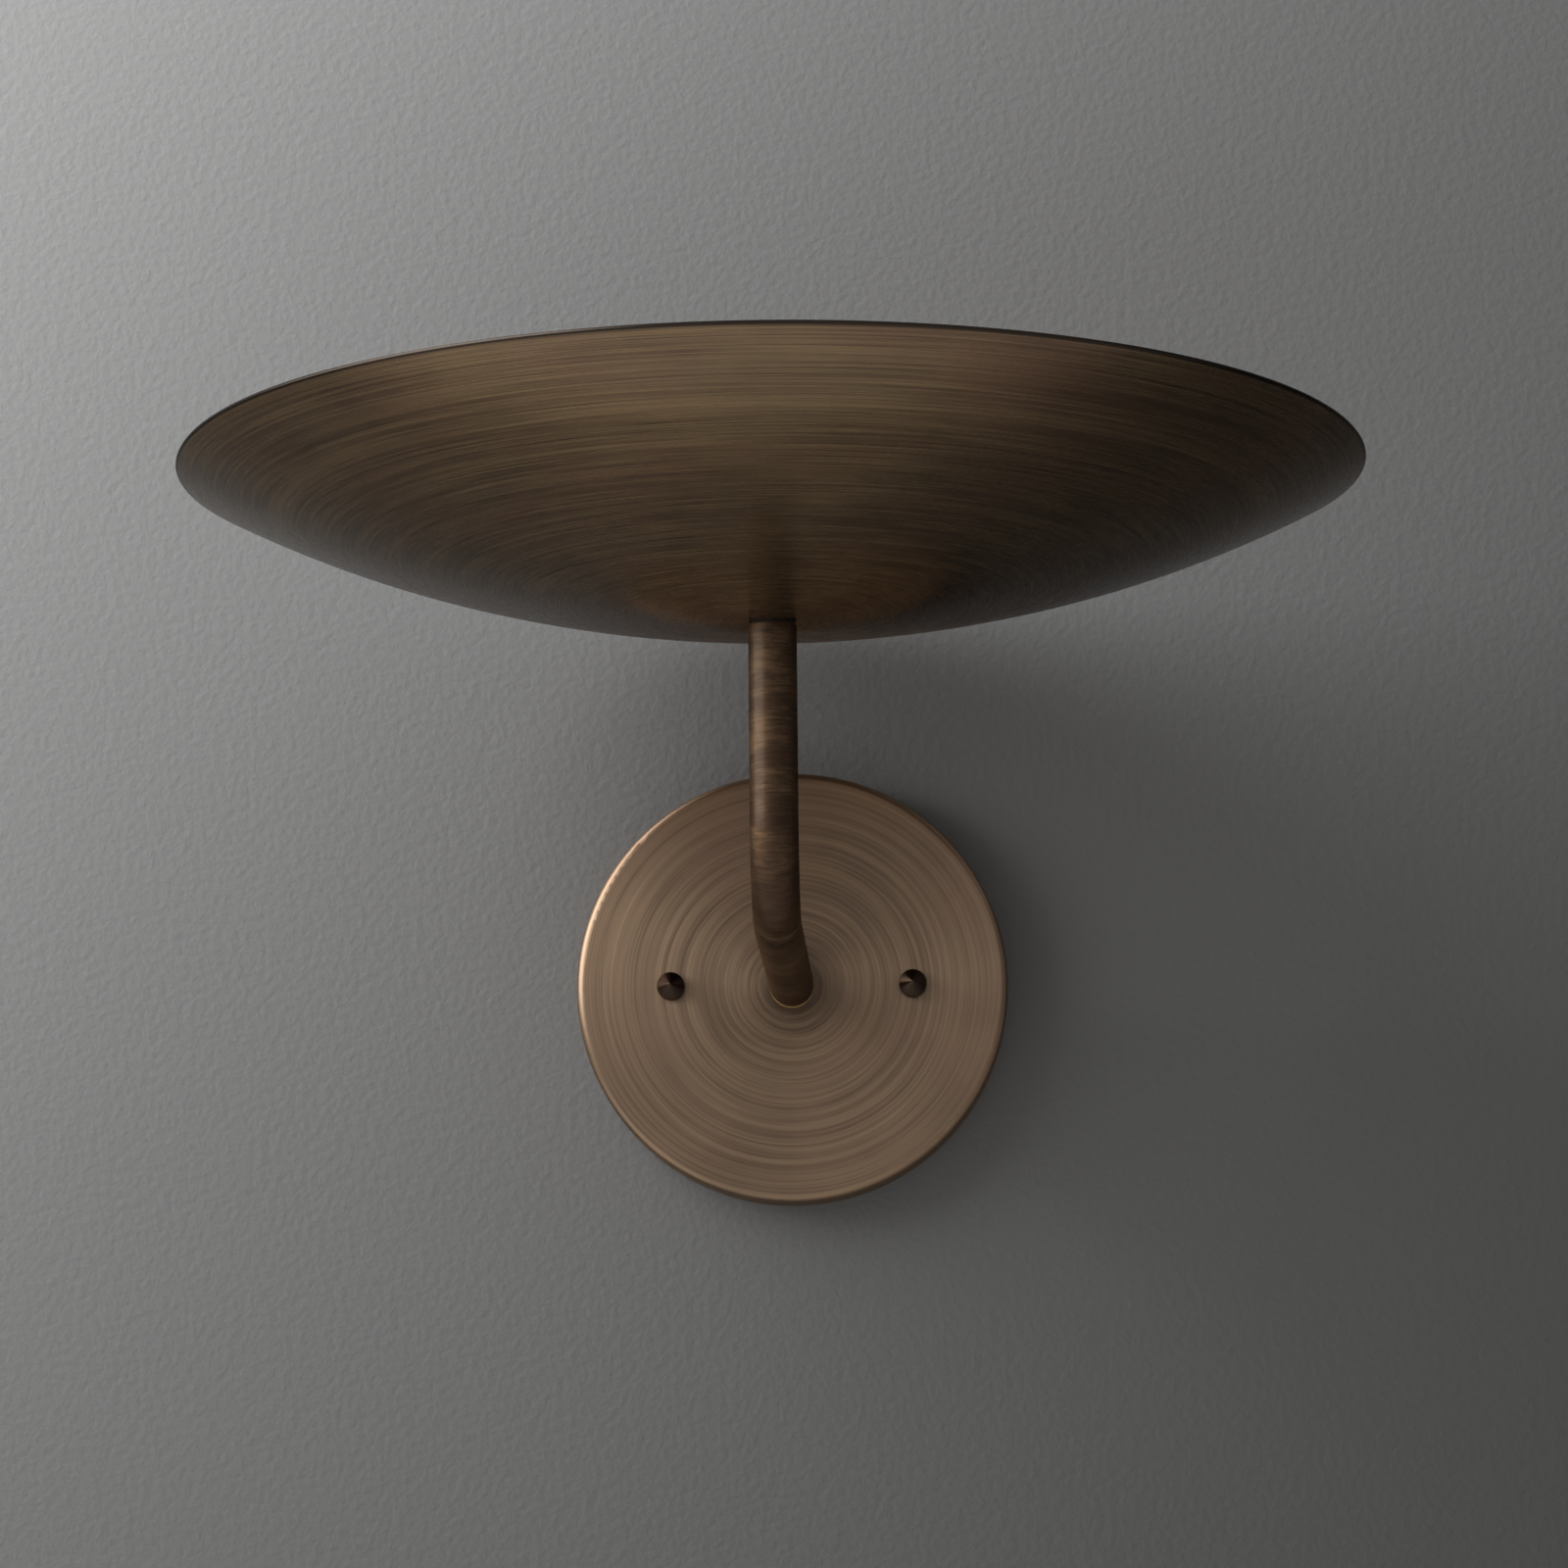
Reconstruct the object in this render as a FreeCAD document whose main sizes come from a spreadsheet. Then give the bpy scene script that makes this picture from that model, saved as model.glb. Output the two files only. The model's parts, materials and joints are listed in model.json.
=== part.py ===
import FreeCAD, Part
import math
import os
import Sketcher
from FreeCAD import Rotation, Vector

# Uplighter wall sconce, in millimetres.
# Origin: the centre of the canopy's back, on the wall. +Z is up, +X is to the right of someone
# who faces the wall, and the wall is the plane y = 0, so the sconce reaches out towards -Y.

X_AXIS = Vector(1, 0, 0)
Y_AXIS = Vector(0, 1, 0)
Z_AXIS = Vector(0, 0, 1)

doc = FreeCAD.newDocument("uplighter_sconce")
sheet = doc.addObject("Spreadsheet::Sheet", "Sizes")

SIZES = [
    # canopy on the wall
    ("canopy_diameter", 125.0, "outside diameter of the canopy"),
    ("canopy_depth", 16.0, "how far the canopy stands out from the wall"),
    ("canopy_sheet", 1.0, "sheet of the spun canopy"),
    ("canopy_corner", 2.5, "outside radius where the canopy's face turns into its side"),
    ("stud_hole_clearance", 0.6, "how much wider the canopy's stud holes are than the studs"),
    # crossbar and its fixings
    ("bar_length", 108.0, "length of the crossbar"),
    ("bar_width", 19.0, "width of the crossbar"),
    ("bar_thickness", 2.0, "thickness of the crossbar"),
    ("box_spacing", 88.9, "distance between the junction box's two screws"),
    ("box_slot_length", 9.5, "length of each slot for a box screw, end to end"),
    ("box_slot_width", 4.8, "width of each slot for a box screw"),
    ("stud_spacing", 70.0, "distance between the two studs that hold the canopy"),
    ("stud_diameter", 4.0, "diameter of a stud"),
    ("stud_reach", 3.8, "how far a stud stands out of the canopy's face"),
    ("stud_nut_flats", 7.0, "width across the flats of a stud's lock nut"),
    ("stud_nut_height", 3.2, "height of a stud's lock nut"),
    ("cap_nut_diameter", 7.94, "diameter of a conical cap nut"),
    ("cap_nut_wall", 3.0, "height of the cap nut's straight side"),
    ("cap_nut_cone", 4.0, "height of the cap nut's cone"),
    ("cap_nut_tip", 0.7, "diameter of the cone's blunt tip"),
    ("cap_nut_thread_depth", 4.2, "depth of the cap nut's thread"),
    # earth screw, on the left of the crossbar
    ("earth_place", 20.0, "distance of the earth screw from the middle of the bar"),
    ("earth_screw_diameter", 4.0, "thread of the earth screw"),
    ("earth_head_diameter", 8.0, "head of the earth screw"),
    ("earth_head_height", 2.6, "height of the earth screw's head"),
    ("earth_lead_diameter", 1.6, "bare earth lead"),
    ("earth_lead_bend", 4.0, "radius of the earth lead's bends"),
    ("earth_lead_lap", 5.0, "length of the earth lead that lies on the lug"),
    ("earth_lead_loop", 8.0, "how far the earth lead passes its screw before it turns back"),
    ("earth_lead_tail", 4.0, "how far the earth lead's end reaches past its screw"),
    # terminal block, on the right of the crossbar
    ("block_place", 21.0, "distance of the terminal block from the middle of the bar"),
    ("block_length", 17.0, "length of the terminal block, along its bores"),
    ("block_width", 17.0, "width of the terminal block"),
    ("block_height", 9.0, "height of the terminal block"),
    ("pole_spacing", 8.8, "distance between the block's two poles"),
    ("pole_height", 4.5, "height of each bore above the bar"),
    ("insert_diameter", 5.0, "outside diameter of a pole's brass insert"),
    ("insert_bore", 3.9, "bore of a pole's brass insert"),
    ("clamp_screw_diameter", 2.6, "diameter of a clamping screw"),
    ("clamp_spacing", 8.0, "distance between the two clamping screws of a pole"),
    ("clamp_reach", 0.3, "how far a clamping screw reaches into its insert"),
    ("clamp_recess", 0.4, "how far a clamping screw lies below the block's top"),
    ("block_screw_diameter", 3.0, "screw that holds the block to the bar"),
    ("block_screw_head", 5.2, "head of the block's screw"),
    ("block_screw_head_height", 2.0, "height of the head of the block's screw"),
    # threaded tubes and what locks them
    ("nipple_diameter", 10.0, "threaded nipple, at both ends of the arm"),
    ("nipple_bore", 7.5, "bore of a nipple"),
    ("nipple_grip", 14.0, "how far a nipple screws into the arm"),
    ("hole_diameter", 10.3, "hole that a nipple passes through"),
    ("nut_flats", 14.0, "width across the flats of a nipple's nut"),
    ("nut_height", 3.0, "height of a nipple's nut"),
    ("lock_washer_diameter", 16.0, "lock washer under a nipple's nut"),
    ("lock_washer_sheet", 1.0, "thickness of a lock washer"),
    ("nipple_overhang", 0.5, "how far a nipple stands out of its nut"),
    ("lug_sheet", 0.8, "thickness of the earth lug"),
    ("lug_diameter", 16.0, "ring of the earth lug"),
    ("lug_reach", 20.0, "distance from the ring's centre to the end of the lug"),
    ("lug_tail_width", 4.0, "width of the earth lug's tail"),
    ("bush_flange", 0.7, "thickness of the bush's flange"),
    ("bush_length", 3.0, "length of the bush inside the nipple"),
    ("bush_bore", 6.2, "bore of the bush"),
    # arm
    ("arm_reach", 165.0, "distance from the wall to the upright of the arm"),
    ("arm_diameter", 12.7, "outside diameter of the arm's tube"),
    ("arm_bore", 10.1, "bore of the arm's tube, a thread's clearance over the nipple"),
    ("bend_radius", 25.0, "centreline radius of the arm's bend"),
    ("foot_ring_diameter", 12.9, "bright ring between the arm and the canopy"),
    ("foot_ring_sheet", 0.6, "thickness of the bright ring"),
    ("neck_diameter", 11.7, "neck washer between the arm and the dish"),
    ("neck_sheet", 0.5, "thickness of the neck washer"),
    # dish
    ("dish_pole", 76.7, "height of the dish's underside at its middle, above the canopy's centre"),
    ("dish_diameter", 310.0, "diameter of the dish at its rim"),
    ("dish_sheet", 1.0, "sheet of the spun dish"),
    ("seat_diameter", 16.0, "flat seat in the middle of the dish"),
    ("hub_diameter", 66.0, "shallow cone in the middle of the dish"),
    ("hub_tilt", 6.8, "angle of the shallow cone, in degrees"),
    ("hub_blend_radius", 100.0, "radius between the flat seat and the cone"),
    ("inner_bowl_diameter", 180.0, "where the inner bowl meets the outer bowl"),
    ("inner_bowl_radius", 390.0, "radius of the inner bowl's curve"),
    ("outer_bowl_radius", 325.5, "radius of the outer bowl's curve"),
    # cluster body in the middle of the dish
    ("spacer_sheet", 2.2, "spacer between the dish and the cluster body"),
    ("cluster_diameter", 47.0, "foot of the cluster body"),
    ("cluster_height", 26.1, "height of the cluster body"),
    ("cluster_sheet", 1.2, "sheet of the cluster body"),
    ("cap_lip", 0.7, "how far the cap's edge overhangs the cluster body's top"),
    ("cap_corner", 0.96, "outside radius of the cap's edge"),
    ("cap_skirt_height", 4.0, "height of the cap's skirt"),
    ("cap_skirt_gap", 0.3, "least gap between the cap's skirt and the cluster body"),
    ("cap_screw_diameter", 2.9, "screw through the cluster body into the cap's skirt"),
    ("cap_screw_head", 5.0, "head of a cap screw"),
    ("cap_screw_head_height", 1.6, "height of a cap screw's head"),
    ("cap_screw_tail", 2.0, "how far a cap screw reaches inside the cap's skirt"),
    # lampholders, measured along their own axis from the middle of the cluster body
    ("lamp_rise", 12.1, "height of the lamps' axes above the cluster body's foot, at its middle"),
    ("lamp_tilt", 10.0, "how much each lamp points upward, in degrees"),
    ("stem_diameter", 8.0, "threaded stem at the back of a lampholder"),
    ("stem_bore", 5.4, "bore of the stem"),
    ("stem_hole_clearance", 0.3, "how much wider the holes for a stem are than the stem"),
    ("stem_nut_flats", 10.0, "width across the flats of the stem's nut"),
    ("stem_nut_height", 2.7, "height of the stem's nut"),
    ("saddle_diameter", 16.0, "saddle between a lampholder and the cluster body"),
    ("saddle_height", 2.4, "thickness of the saddle on its middle line"),
    ("holder_length", 30.0, "length of a lampholder's body"),
    ("holder_diameter", 23.0, "diameter of a lampholder's body"),
    ("holder_lip_diameter", 24.4, "lip at the mouth of a lampholder"),
    ("holder_bore", 13.5, "bore that holds the screw shell"),
    ("holder_depth", 22.4, "depth of the lampholder's bore"),
    ("holder_floor", 1.5, "floor between the bore and the chamber for the leads"),
    ("holder_shoulder", 4.0, "height of a lampholder's sloping shoulder"),
    ("holder_lip_height", 2.5, "height of the lip at a lampholder's mouth"),
    ("shell_sheet", 0.6, "sheet of the screw shell"),
    ("shell_inset", 1.0, "how far the screw shell ends inside the lampholder's mouth"),
    ("contact_diameter", 5.2, "head of the centre contact"),
    ("contact_height", 2.6, "height of the centre contact's head"),
    ("contact_bevel", 0.6, "height of the bevel on the centre contact's head"),
    ("contact_gap", 0.6, "gap between the centre contact and the screw shell's floor"),
    ("contact_rivet", 2.4, "rivet of the centre contact"),
    ("contact_rivet_tail", 1.0, "how far the rivet stands out into the chamber"),
    # lamps
    ("lamp_base_diameter", 11.9, "screw base of a lamp"),
    ("lamp_base_sheet", 0.6, "sheet of the screw base"),
    ("lamp_base_length", 16.7, "length of the screw base's straight part"),
    ("lamp_tip_height", 3.1, "height of the lamp's contact and its insulator"),
    ("lamp_contact_diameter", 4.0, "foot of the lamp's end contact"),
    ("lamp_contact_height", 1.0, "height of the lamp's end contact"),
    ("lamp_contact_taper", 0.7, "how much the end contact's radius narrows to its tip"),
    ("insulator_edge", 0.4, "width of the insulator's edge round the end contact"),
    ("insulator_depth", 2.0, "how deep the insulator sits in the screw base"),
    ("lamp_collar_diameter", 17.6, "collar where the base holds the glass"),
    ("lamp_collar_height", 2.0, "height of the collar, slope and edge"),
    ("lamp_collar_edge", 1.0, "height of the collar's straight edge"),
    ("lamp_collar_offset", 0.3, "how much higher the collar's slope lies on its inside"),
    ("lamp_glass_seat", 0.5, "how deep the glass sits in the collar"),
    ("lamp_glass_diameter", 19.0, "diameter of the tubular glass"),
    ("lamp_glass_length", 48.8, "length of the tubular glass"),
    ("lamp_glass_sheet", 0.8, "thickness of the glass"),
    ("lamp_glass_shoulder", 3.0, "height at which the glass reaches its full width"),
    ("glass_stem_diameter", 3.6, "glass stem inside the lamp"),
    ("glass_stem_length", 15.0, "length of the glass stem"),
    ("glass_stem_flare", 1.2, "how much the glass stem's radius widens at its foot"),
    ("glass_stem_flare_height", 4.0, "height of the flare at the glass stem's foot"),
    ("filament_span", 6.4, "width of the filament's loop"),
    ("filament_length", 22.0, "length of the filament's loop beyond the stem"),
    ("filament_wire", 0.7, "thickness of the filament and its supports"),
    ("filament_spread", 6.0, "height over which the supports spread apart"),
    ("filament_bend", 2.4, "radius of the filament's bends"),
    ("support_bend", 3.0, "radius of the supports' bends"),
    # leads
    ("lead_diameter", 1.7, "insulated lead"),
    ("lead_offset", 1.5, "distance of each lead from the middle of the bore, both ways"),
    ("lead_layer", 0.9, "distance of each lead from the middle of its terminal, out from the wall"),
    ("lead_reach", 3.5, "how far a lead reaches into the terminal block"),
    ("lead_start", 1.5, "length of a lead's straight run out of the terminal block"),
    ("lead_block_bend", 3.0, "radius of a lead's bend at the terminal block"),
    ("lead_bush_bend", 1.7, "radius of a lead's bend into the bush"),
    ("lead_holder_bend", 3.5, "radius of a lead's bend towards its lampholder"),
    ("lead_end_gap", 1.2, "gap between a lead's end and the chamber's floor"),
    # clearances
    ("thread_clearance", 0.05, "radial clearance between a thread and what holds it"),
    ("seat_clearance", 0.05, "gap between curved seats that touch"),
    ("working_gap", 0.3, "gap between a lamp and what it stops at"),
]

for row, (alias, number, meaning) in enumerate(SIZES, start=1):
    sheet.set("A%d" % row, alias)
    sheet.set("B%d" % row, str(number))
    sheet.set("C%d" % row, meaning)
    sheet.setAlias("B%d" % row, alias)
doc.recompute()


class Size:
    """A number together with the formula that gives it from the sheet's cells."""

    def __init__(self, number, formula):
        self.number = number
        self.formula = formula

    def __add__(self, other):
        other = as_size(other)
        return Size(self.number + other.number, "(%s + %s)" % (self.formula, other.formula))

    def __sub__(self, other):
        other = as_size(other)
        return Size(self.number - other.number, "(%s - %s)" % (self.formula, other.formula))

    def __mul__(self, other):
        other = as_size(other)
        return Size(self.number * other.number, "(%s * %s)" % (self.formula, other.formula))

    def __truediv__(self, other):
        other = as_size(other)
        return Size(self.number / other.number, "(%s / %s)" % (self.formula, other.formula))

    def __neg__(self):
        return Size(-self.number, "(-1 * %s)" % self.formula)


def as_size(thing):
    if isinstance(thing, Size):
        return thing
    return Size(float(thing), "%.9g" % thing)


def size(alias):
    return Size(float(sheet.get(alias)), "Sizes.%s" % alias)


def sine(angle):
    return Size(math.sin(math.radians(angle.number)), "sin(%s)" % angle.formula)


def cosine(angle):
    return Size(math.cos(math.radians(angle.number)), "cos(%s)" % angle.formula)


def tangent(angle):
    return Size(math.tan(math.radians(angle.number)), "tan(%s)" % angle.formula)


ZERO = as_size(0)
QUARTER_TURN = as_size(90)
HALF_HEXAGON_SIDE = as_size(30)

# ---------------------------------------------------------------- places worked out from the sizes
# Wall side: distances out from the wall.
canopy_face = size("canopy_depth")
canopy_inside = canopy_face - size("canopy_sheet")
washer_back = canopy_inside - size("lock_washer_sheet")
lug_back = washer_back - size("lug_sheet")
nut_back = lug_back - size("nut_height")
wall_nipple_start = nut_back - size("nipple_overhang")
bush_back = wall_nipple_start - size("bush_flange")
arm_foot = canopy_face + size("foot_ring_sheet")
wall_nipple_end = arm_foot + size("nipple_grip")
stud_x = size("stud_spacing") / 2
bore_height = size("bar_thickness") + size("pole_height")

# Dish side: heights above the canopy's centre.
arm_top = size("dish_pole") - size("neck_sheet")
dish_nipple_start = arm_top - size("nipple_grip")
dish_floor = size("dish_pole") + size("dish_sheet")
cluster_foot = dish_floor + size("spacer_sheet")
cluster_floor = cluster_foot + size("cluster_sheet")
cluster_nut_foot = cluster_floor + size("lock_washer_sheet")
cluster_nut_top = cluster_nut_foot + size("nut_height")
dish_nipple_end = cluster_nut_top + size("nipple_overhang")
cluster_top = cluster_foot + size("cluster_height")
lamp_height = cluster_foot + size("lamp_rise")

# The cluster body's side leans in by the lamps' tilt, so each lampholder sits square on it.
lamp_lean = QUARTER_TURN - size("lamp_tilt")
side_slope = tangent(size("lamp_tilt"))
side_offset = size("cluster_sheet") / cosine(size("lamp_tilt"))
cluster_foot_radius = size("cluster_diameter") / 2
cluster_top_radius = cluster_foot_radius - size("cluster_height") * side_slope

# Along each lamp's axis, from the middle of the cluster body.
side_face = (cluster_foot_radius - size("lamp_rise") * side_slope) * cosine(size("lamp_tilt"))
side_inside = side_face - size("cluster_sheet")
side_radius = side_face * cosine(size("lamp_tilt"))
nut_corner = size("stem_nut_flats") / 2 / cosine(HALF_HEXAGON_SIDE)
nut_sag = nut_corner * nut_corner / (side_radius - size("cluster_sheet")) / 2
stem_nut_end = side_inside - nut_sag - size("seat_clearance")
stem_nut_start = stem_nut_end - size("stem_nut_height")
stem_start = stem_nut_start - size("nipple_overhang")
holder_back = side_face + size("saddle_height")
holder_mouth = holder_back + size("holder_length")
holder_seat = holder_mouth - size("holder_depth")
chamber_end = holder_seat - size("holder_floor")
shell_radius = size("holder_bore") / 2 - size("thread_clearance")
shell_mouth = holder_mouth - size("shell_inset")
contact_top = holder_seat + size("contact_height")
lamp_tip = contact_top + size("working_gap")
lamp_base_start = lamp_tip + size("lamp_tip_height")
lamp_base_end = lamp_base_start + size("lamp_base_length")
collar_top = lamp_base_end + size("lamp_collar_height")
glass_start = collar_top - size("lamp_glass_seat")
glass_end = glass_start + size("lamp_glass_length")


# ---------------------------------------------------------------- how a piece is made
def place(piece, x=ZERO, y=ZERO, z=ZERO, axis=Z_AXIS, angle=ZERO):
    """Turns the piece by angle about axis, then moves its own origin to x, y, z."""
    piece.Placement = FreeCAD.Placement(Vector(x.number, y.number, z.number), Rotation(axis, angle.number))
    piece.setExpression("Placement.Base.x", x.formula)
    piece.setExpression("Placement.Base.y", y.formula)
    piece.setExpression("Placement.Base.z", z.formula)
    if angle is not ZERO:
        piece.setExpression("Placement.Rotation.Angle", angle.formula)
    return piece


def out_from_wall(piece, x=ZERO, z=ZERO):
    """The piece's own Z points straight out from the wall."""
    return place(piece, x=x, z=z, axis=X_AXIS, angle=QUARTER_TURN)


def on_upright(piece):
    """The piece stands on the arm's upright, with heights from the canopy's centre."""
    return place(piece, y=-size("arm_reach"))


def along_lamp(piece, side):
    """The piece's own Z runs along a lamp's axis: side is 1 for the right and -1 for the left."""
    return place(piece, y=-size("arm_reach"), z=lamp_height, axis=Y_AXIS * side, angle=lamp_lean)


def origin_plane(body, role):
    return [feature for feature in body.Origin.OriginFeatures if feature.Role == role][0]


def new_body(label):
    body = doc.addObject("PartDesign::Body", label)
    body.Label = label
    return body


def new_sketch(body, name, role):
    sketch = body.newObject("Sketcher::SketchObject", name)
    sketch.AttachmentSupport = (origin_plane(body, role), [""])
    sketch.MapMode = "FlatFace"
    return sketch


def constrain(sketch, kind, references, length):
    """One driving dimension of a sketch, bound to the sheet."""
    number = sketch.addConstraint(Sketcher.Constraint(kind, *references, length.number))
    sketch.setExpression("Constraints[%d]" % number, length.formula)


def add_outline(sketch, corners):
    """A closed outline of straight lines, each corner held by its two distances."""
    corners = [(as_size(across), as_size(along)) for across, along in corners]
    first = sketch.GeometryCount
    points = [Vector(across.number, along.number, 0) for across, along in corners]
    for start, end in zip(points, points[1:] + points[:1]):
        sketch.addGeometry(Part.LineSegment(start, end))
    last = first + len(points) - 1
    for line in range(first, last):
        sketch.addConstraint(Sketcher.Constraint("Coincident", line, 2, line + 1, 1))
    sketch.addConstraint(Sketcher.Constraint("Coincident", last, 2, first, 1))
    for line, (across, along) in enumerate(corners, start=first):
        if across.number == 0:
            sketch.addConstraint(Sketcher.Constraint("PointOnObject", line, 1, -2))
        else:
            constrain(sketch, "DistanceX", (-1, 1, line, 1), across)
        if along.number == 0:
            sketch.addConstraint(Sketcher.Constraint("PointOnObject", line, 1, -1))
        else:
            constrain(sketch, "DistanceY", (-1, 1, line, 1), along)


def add_circle(sketch, across, along, diameter):
    circle = sketch.addGeometry(Part.Circle(Vector(across.number, along.number, 0), Z_AXIS, diameter.number / 2))
    for kind, axis, distance in (("DistanceX", -2, across), ("DistanceY", -1, along)):
        if distance.number == 0:
            sketch.addConstraint(Sketcher.Constraint("PointOnObject", circle, 3, axis))
        else:
            constrain(sketch, kind, (-1, 1, circle, 3), distance)
    constrain(sketch, "Diameter", (circle,), diameter)


def turned(label, corners):
    """A turned or spun piece: corners are (radius, height) pairs, revolved about the piece's own Z."""
    body = new_body(label)
    sketch = new_sketch(body, label + "_profile", "XZ_Plane")
    add_outline(sketch, corners)
    spin = body.newObject("PartDesign::Revolution", label + "_turned")
    spin.Profile = sketch
    spin.ReferenceAxis = (sketch, ["V_Axis"])
    spin.Angle = 360
    sketch.Visibility = False
    return body


def ring(label, outside, inside, low, high):
    """A washer or a sleeve, from its two diameters and its two heights."""
    return turned(label, [(inside / 2, low), (outside / 2, low), (outside / 2, high), (inside / 2, high)])


def circle_edges(shape, radius, height):
    """The names of a turned shape's circular edges of one radius at one height."""
    names = []
    for number, edge in enumerate(shape.Edges, start=1):
        if not hasattr(edge.Curve, "Radius"):
            continue
        centre = edge.Curve.Center
        if abs(edge.Curve.Radius - radius.number) < 1e-4 and abs(centre.z - height.number) < 1e-4:
            names.append("Edge%d" % number)
    return names


def rounded(body, radius, height, rounding):
    """Rounds a turned body's edge that has this radius and height."""
    doc.recompute()
    base = body.Tip
    fillet = body.newObject("PartDesign::Fillet", body.Label + "_round")
    fillet.Base = (base, circle_edges(base.Shape, radius, height))
    fillet.Radius = rounding.number
    fillet.setExpression("Radius", rounding.formula)
    return body


def pad(body, sketch, name, height, reverse=False):
    feature = body.newObject("PartDesign::Pad", name)
    feature.Profile = sketch
    feature.Length = height.number
    feature.setExpression("Length", height.formula)
    feature.Reversed = reverse
    sketch.Visibility = False
    return feature


def hexagon_nut(label, flats, bore, low, height):
    """A hexagonal nut from low upward, with its threaded hole."""
    body = new_body(label)
    sketch = new_sketch(body, label + "_hexagon", "XY_Plane")
    corner = flats / 2 / cosine(HALF_HEXAGON_SIDE)
    half = corner / 2
    add_outline(sketch, [
        (corner, 0), (half, flats / 2), (-half, flats / 2),
        (-corner, 0), (-half, -(flats / 2)), (half, -(flats / 2)),
    ])
    add_circle(sketch, ZERO, ZERO, bore)
    place_sketch_at(sketch, low)
    pad(body, sketch, label + "_pad", height)
    return body


def place_sketch_at(sketch, height):
    """Lifts a sketch off its plane, along the plane's normal."""
    sketch.AttachmentOffset = FreeCAD.Placement(Vector(0, 0, height.number), Rotation())
    sketch.setExpression("AttachmentOffset.Base.z", height.formula)


def shaped(label, shape):
    """A piece whose shape is worked out in full from the sheet's sizes."""
    piece = doc.addObject("Part::Feature", label)
    piece.Label = label
    piece.Shape = shape
    return piece


def cylinder(name, diameter, height, x=ZERO, y=ZERO, z=ZERO, axis=Z_AXIS, angle=ZERO):
    feature = doc.addObject("Part::Cylinder", name)
    radius = diameter / 2
    feature.setExpression("Radius", radius.formula)
    feature.setExpression("Height", height.formula)
    return place(feature, x, y, z, axis, angle)


def joined(label, kind, shapes):
    """The fusion (Part::MultiFuse) or compound of several shapes, under one label."""
    feature = doc.addObject(kind, label)
    feature.Label = label
    if kind == "Part::Compound":
        feature.Links = shapes
    else:
        feature.Shapes = shapes
    return feature


def cut(label, base, tool):
    feature = doc.addObject("Part::Cut", label)
    feature.Label = label
    feature.Base = base
    feature.Tool = tool
    return feature


def revolved(edges):
    """The solid that a closed outline of edges in the XZ plane gives about the Z axis."""
    face = Part.Face(Part.Wire(Part.__sortEdges__(edges)))
    solid = face.revolve(Vector(0, 0, 0), Z_AXIS, 360)
    if solid.Volume < 0:
        solid.reverse()
    return solid


def rounded_path(points, radii):
    """Straight runs through the points, each corner rounded by a tangent arc."""
    edges = []
    start = points[0]
    for corner, following, radius in zip(points[1:-1], points[2:], radii):
        incoming = (corner - start).normalize()
        outgoing = (following - corner).normalize()
        half_turn = incoming.getAngle(outgoing) / 2
        trim = radius * math.tan(half_turn)
        arc_start = corner - incoming * trim
        arc_end = corner + outgoing * trim
        inward = (outgoing - incoming).normalize()
        centre = corner + inward * (radius / math.cos(half_turn))
        arc_middle = centre - inward * radius
        edges.append(Part.LineSegment(start, arc_start).toShape())
        edges.append(Part.Arc(arc_start, arc_middle, arc_end).toShape())
        start = arc_end
    edges.append(Part.LineSegment(start, points[-1]).toShape())
    return Part.Wire(edges)


def swept(points, radii, diameter):
    """A round wire along a rounded path."""
    path = rounded_path(points, radii)
    direction = points[1] - points[0]
    section = Part.Wire(Part.makeCircle(diameter / 2, points[0], direction))
    solid = path.makePipeShell([section], True, True)
    expected = path.Length * math.pi * diameter * diameter / 4
    if abs(solid.Volume - expected) > 0.01 * expected:
        raise ValueError("a swept wire's volume is not its section times its length")
    return solid


# ---------------------------------------------------------------- wall side
def make_crossbar():
    """Steel strap on the junction box: slots for the box screws, threaded holes for the rest."""
    body = new_body("crossbar")
    sketch = new_sketch(body, "crossbar_outline", "XY_Plane")
    half_length = size("bar_length") / 2
    half_width = size("bar_width") / 2
    add_outline(sketch, [
        (half_length, -half_width), (half_length, half_width),
        (-half_length, half_width), (-half_length, -half_width),
    ])
    thread = size("thread_clearance") * 2
    add_circle(sketch, stud_x, ZERO, size("stud_diameter") + thread)
    add_circle(sketch, -stud_x, ZERO, size("stud_diameter") + thread)
    add_circle(sketch, -size("earth_place"), ZERO, size("earth_screw_diameter") + thread)
    add_circle(sketch, size("block_place"), ZERO, size("block_screw_diameter") + thread)
    pad(body, sketch, "crossbar_strap", size("bar_thickness"))
    slots = new_sketch(body, "crossbar_slots", "XY_Plane")
    half_slot = (size("box_slot_length") - size("box_slot_width")) / 2
    for side in (1, -1):
        add_slot(slots, size("box_spacing") / 2 * side, half_slot, size("box_slot_width"))
    doc.recompute()
    before = body.Shape.Volume
    pocket = body.newObject("PartDesign::Pocket", "crossbar_slotted")
    pocket.Profile = slots
    pocket.Type = "ThroughAll"
    pocket.Reversed = True
    slots.Visibility = False
    doc.recompute()
    if body.Shape.Volume >= before:
        raise ValueError("the crossbar's slots cut nothing")
    out_from_wall(body)


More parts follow.
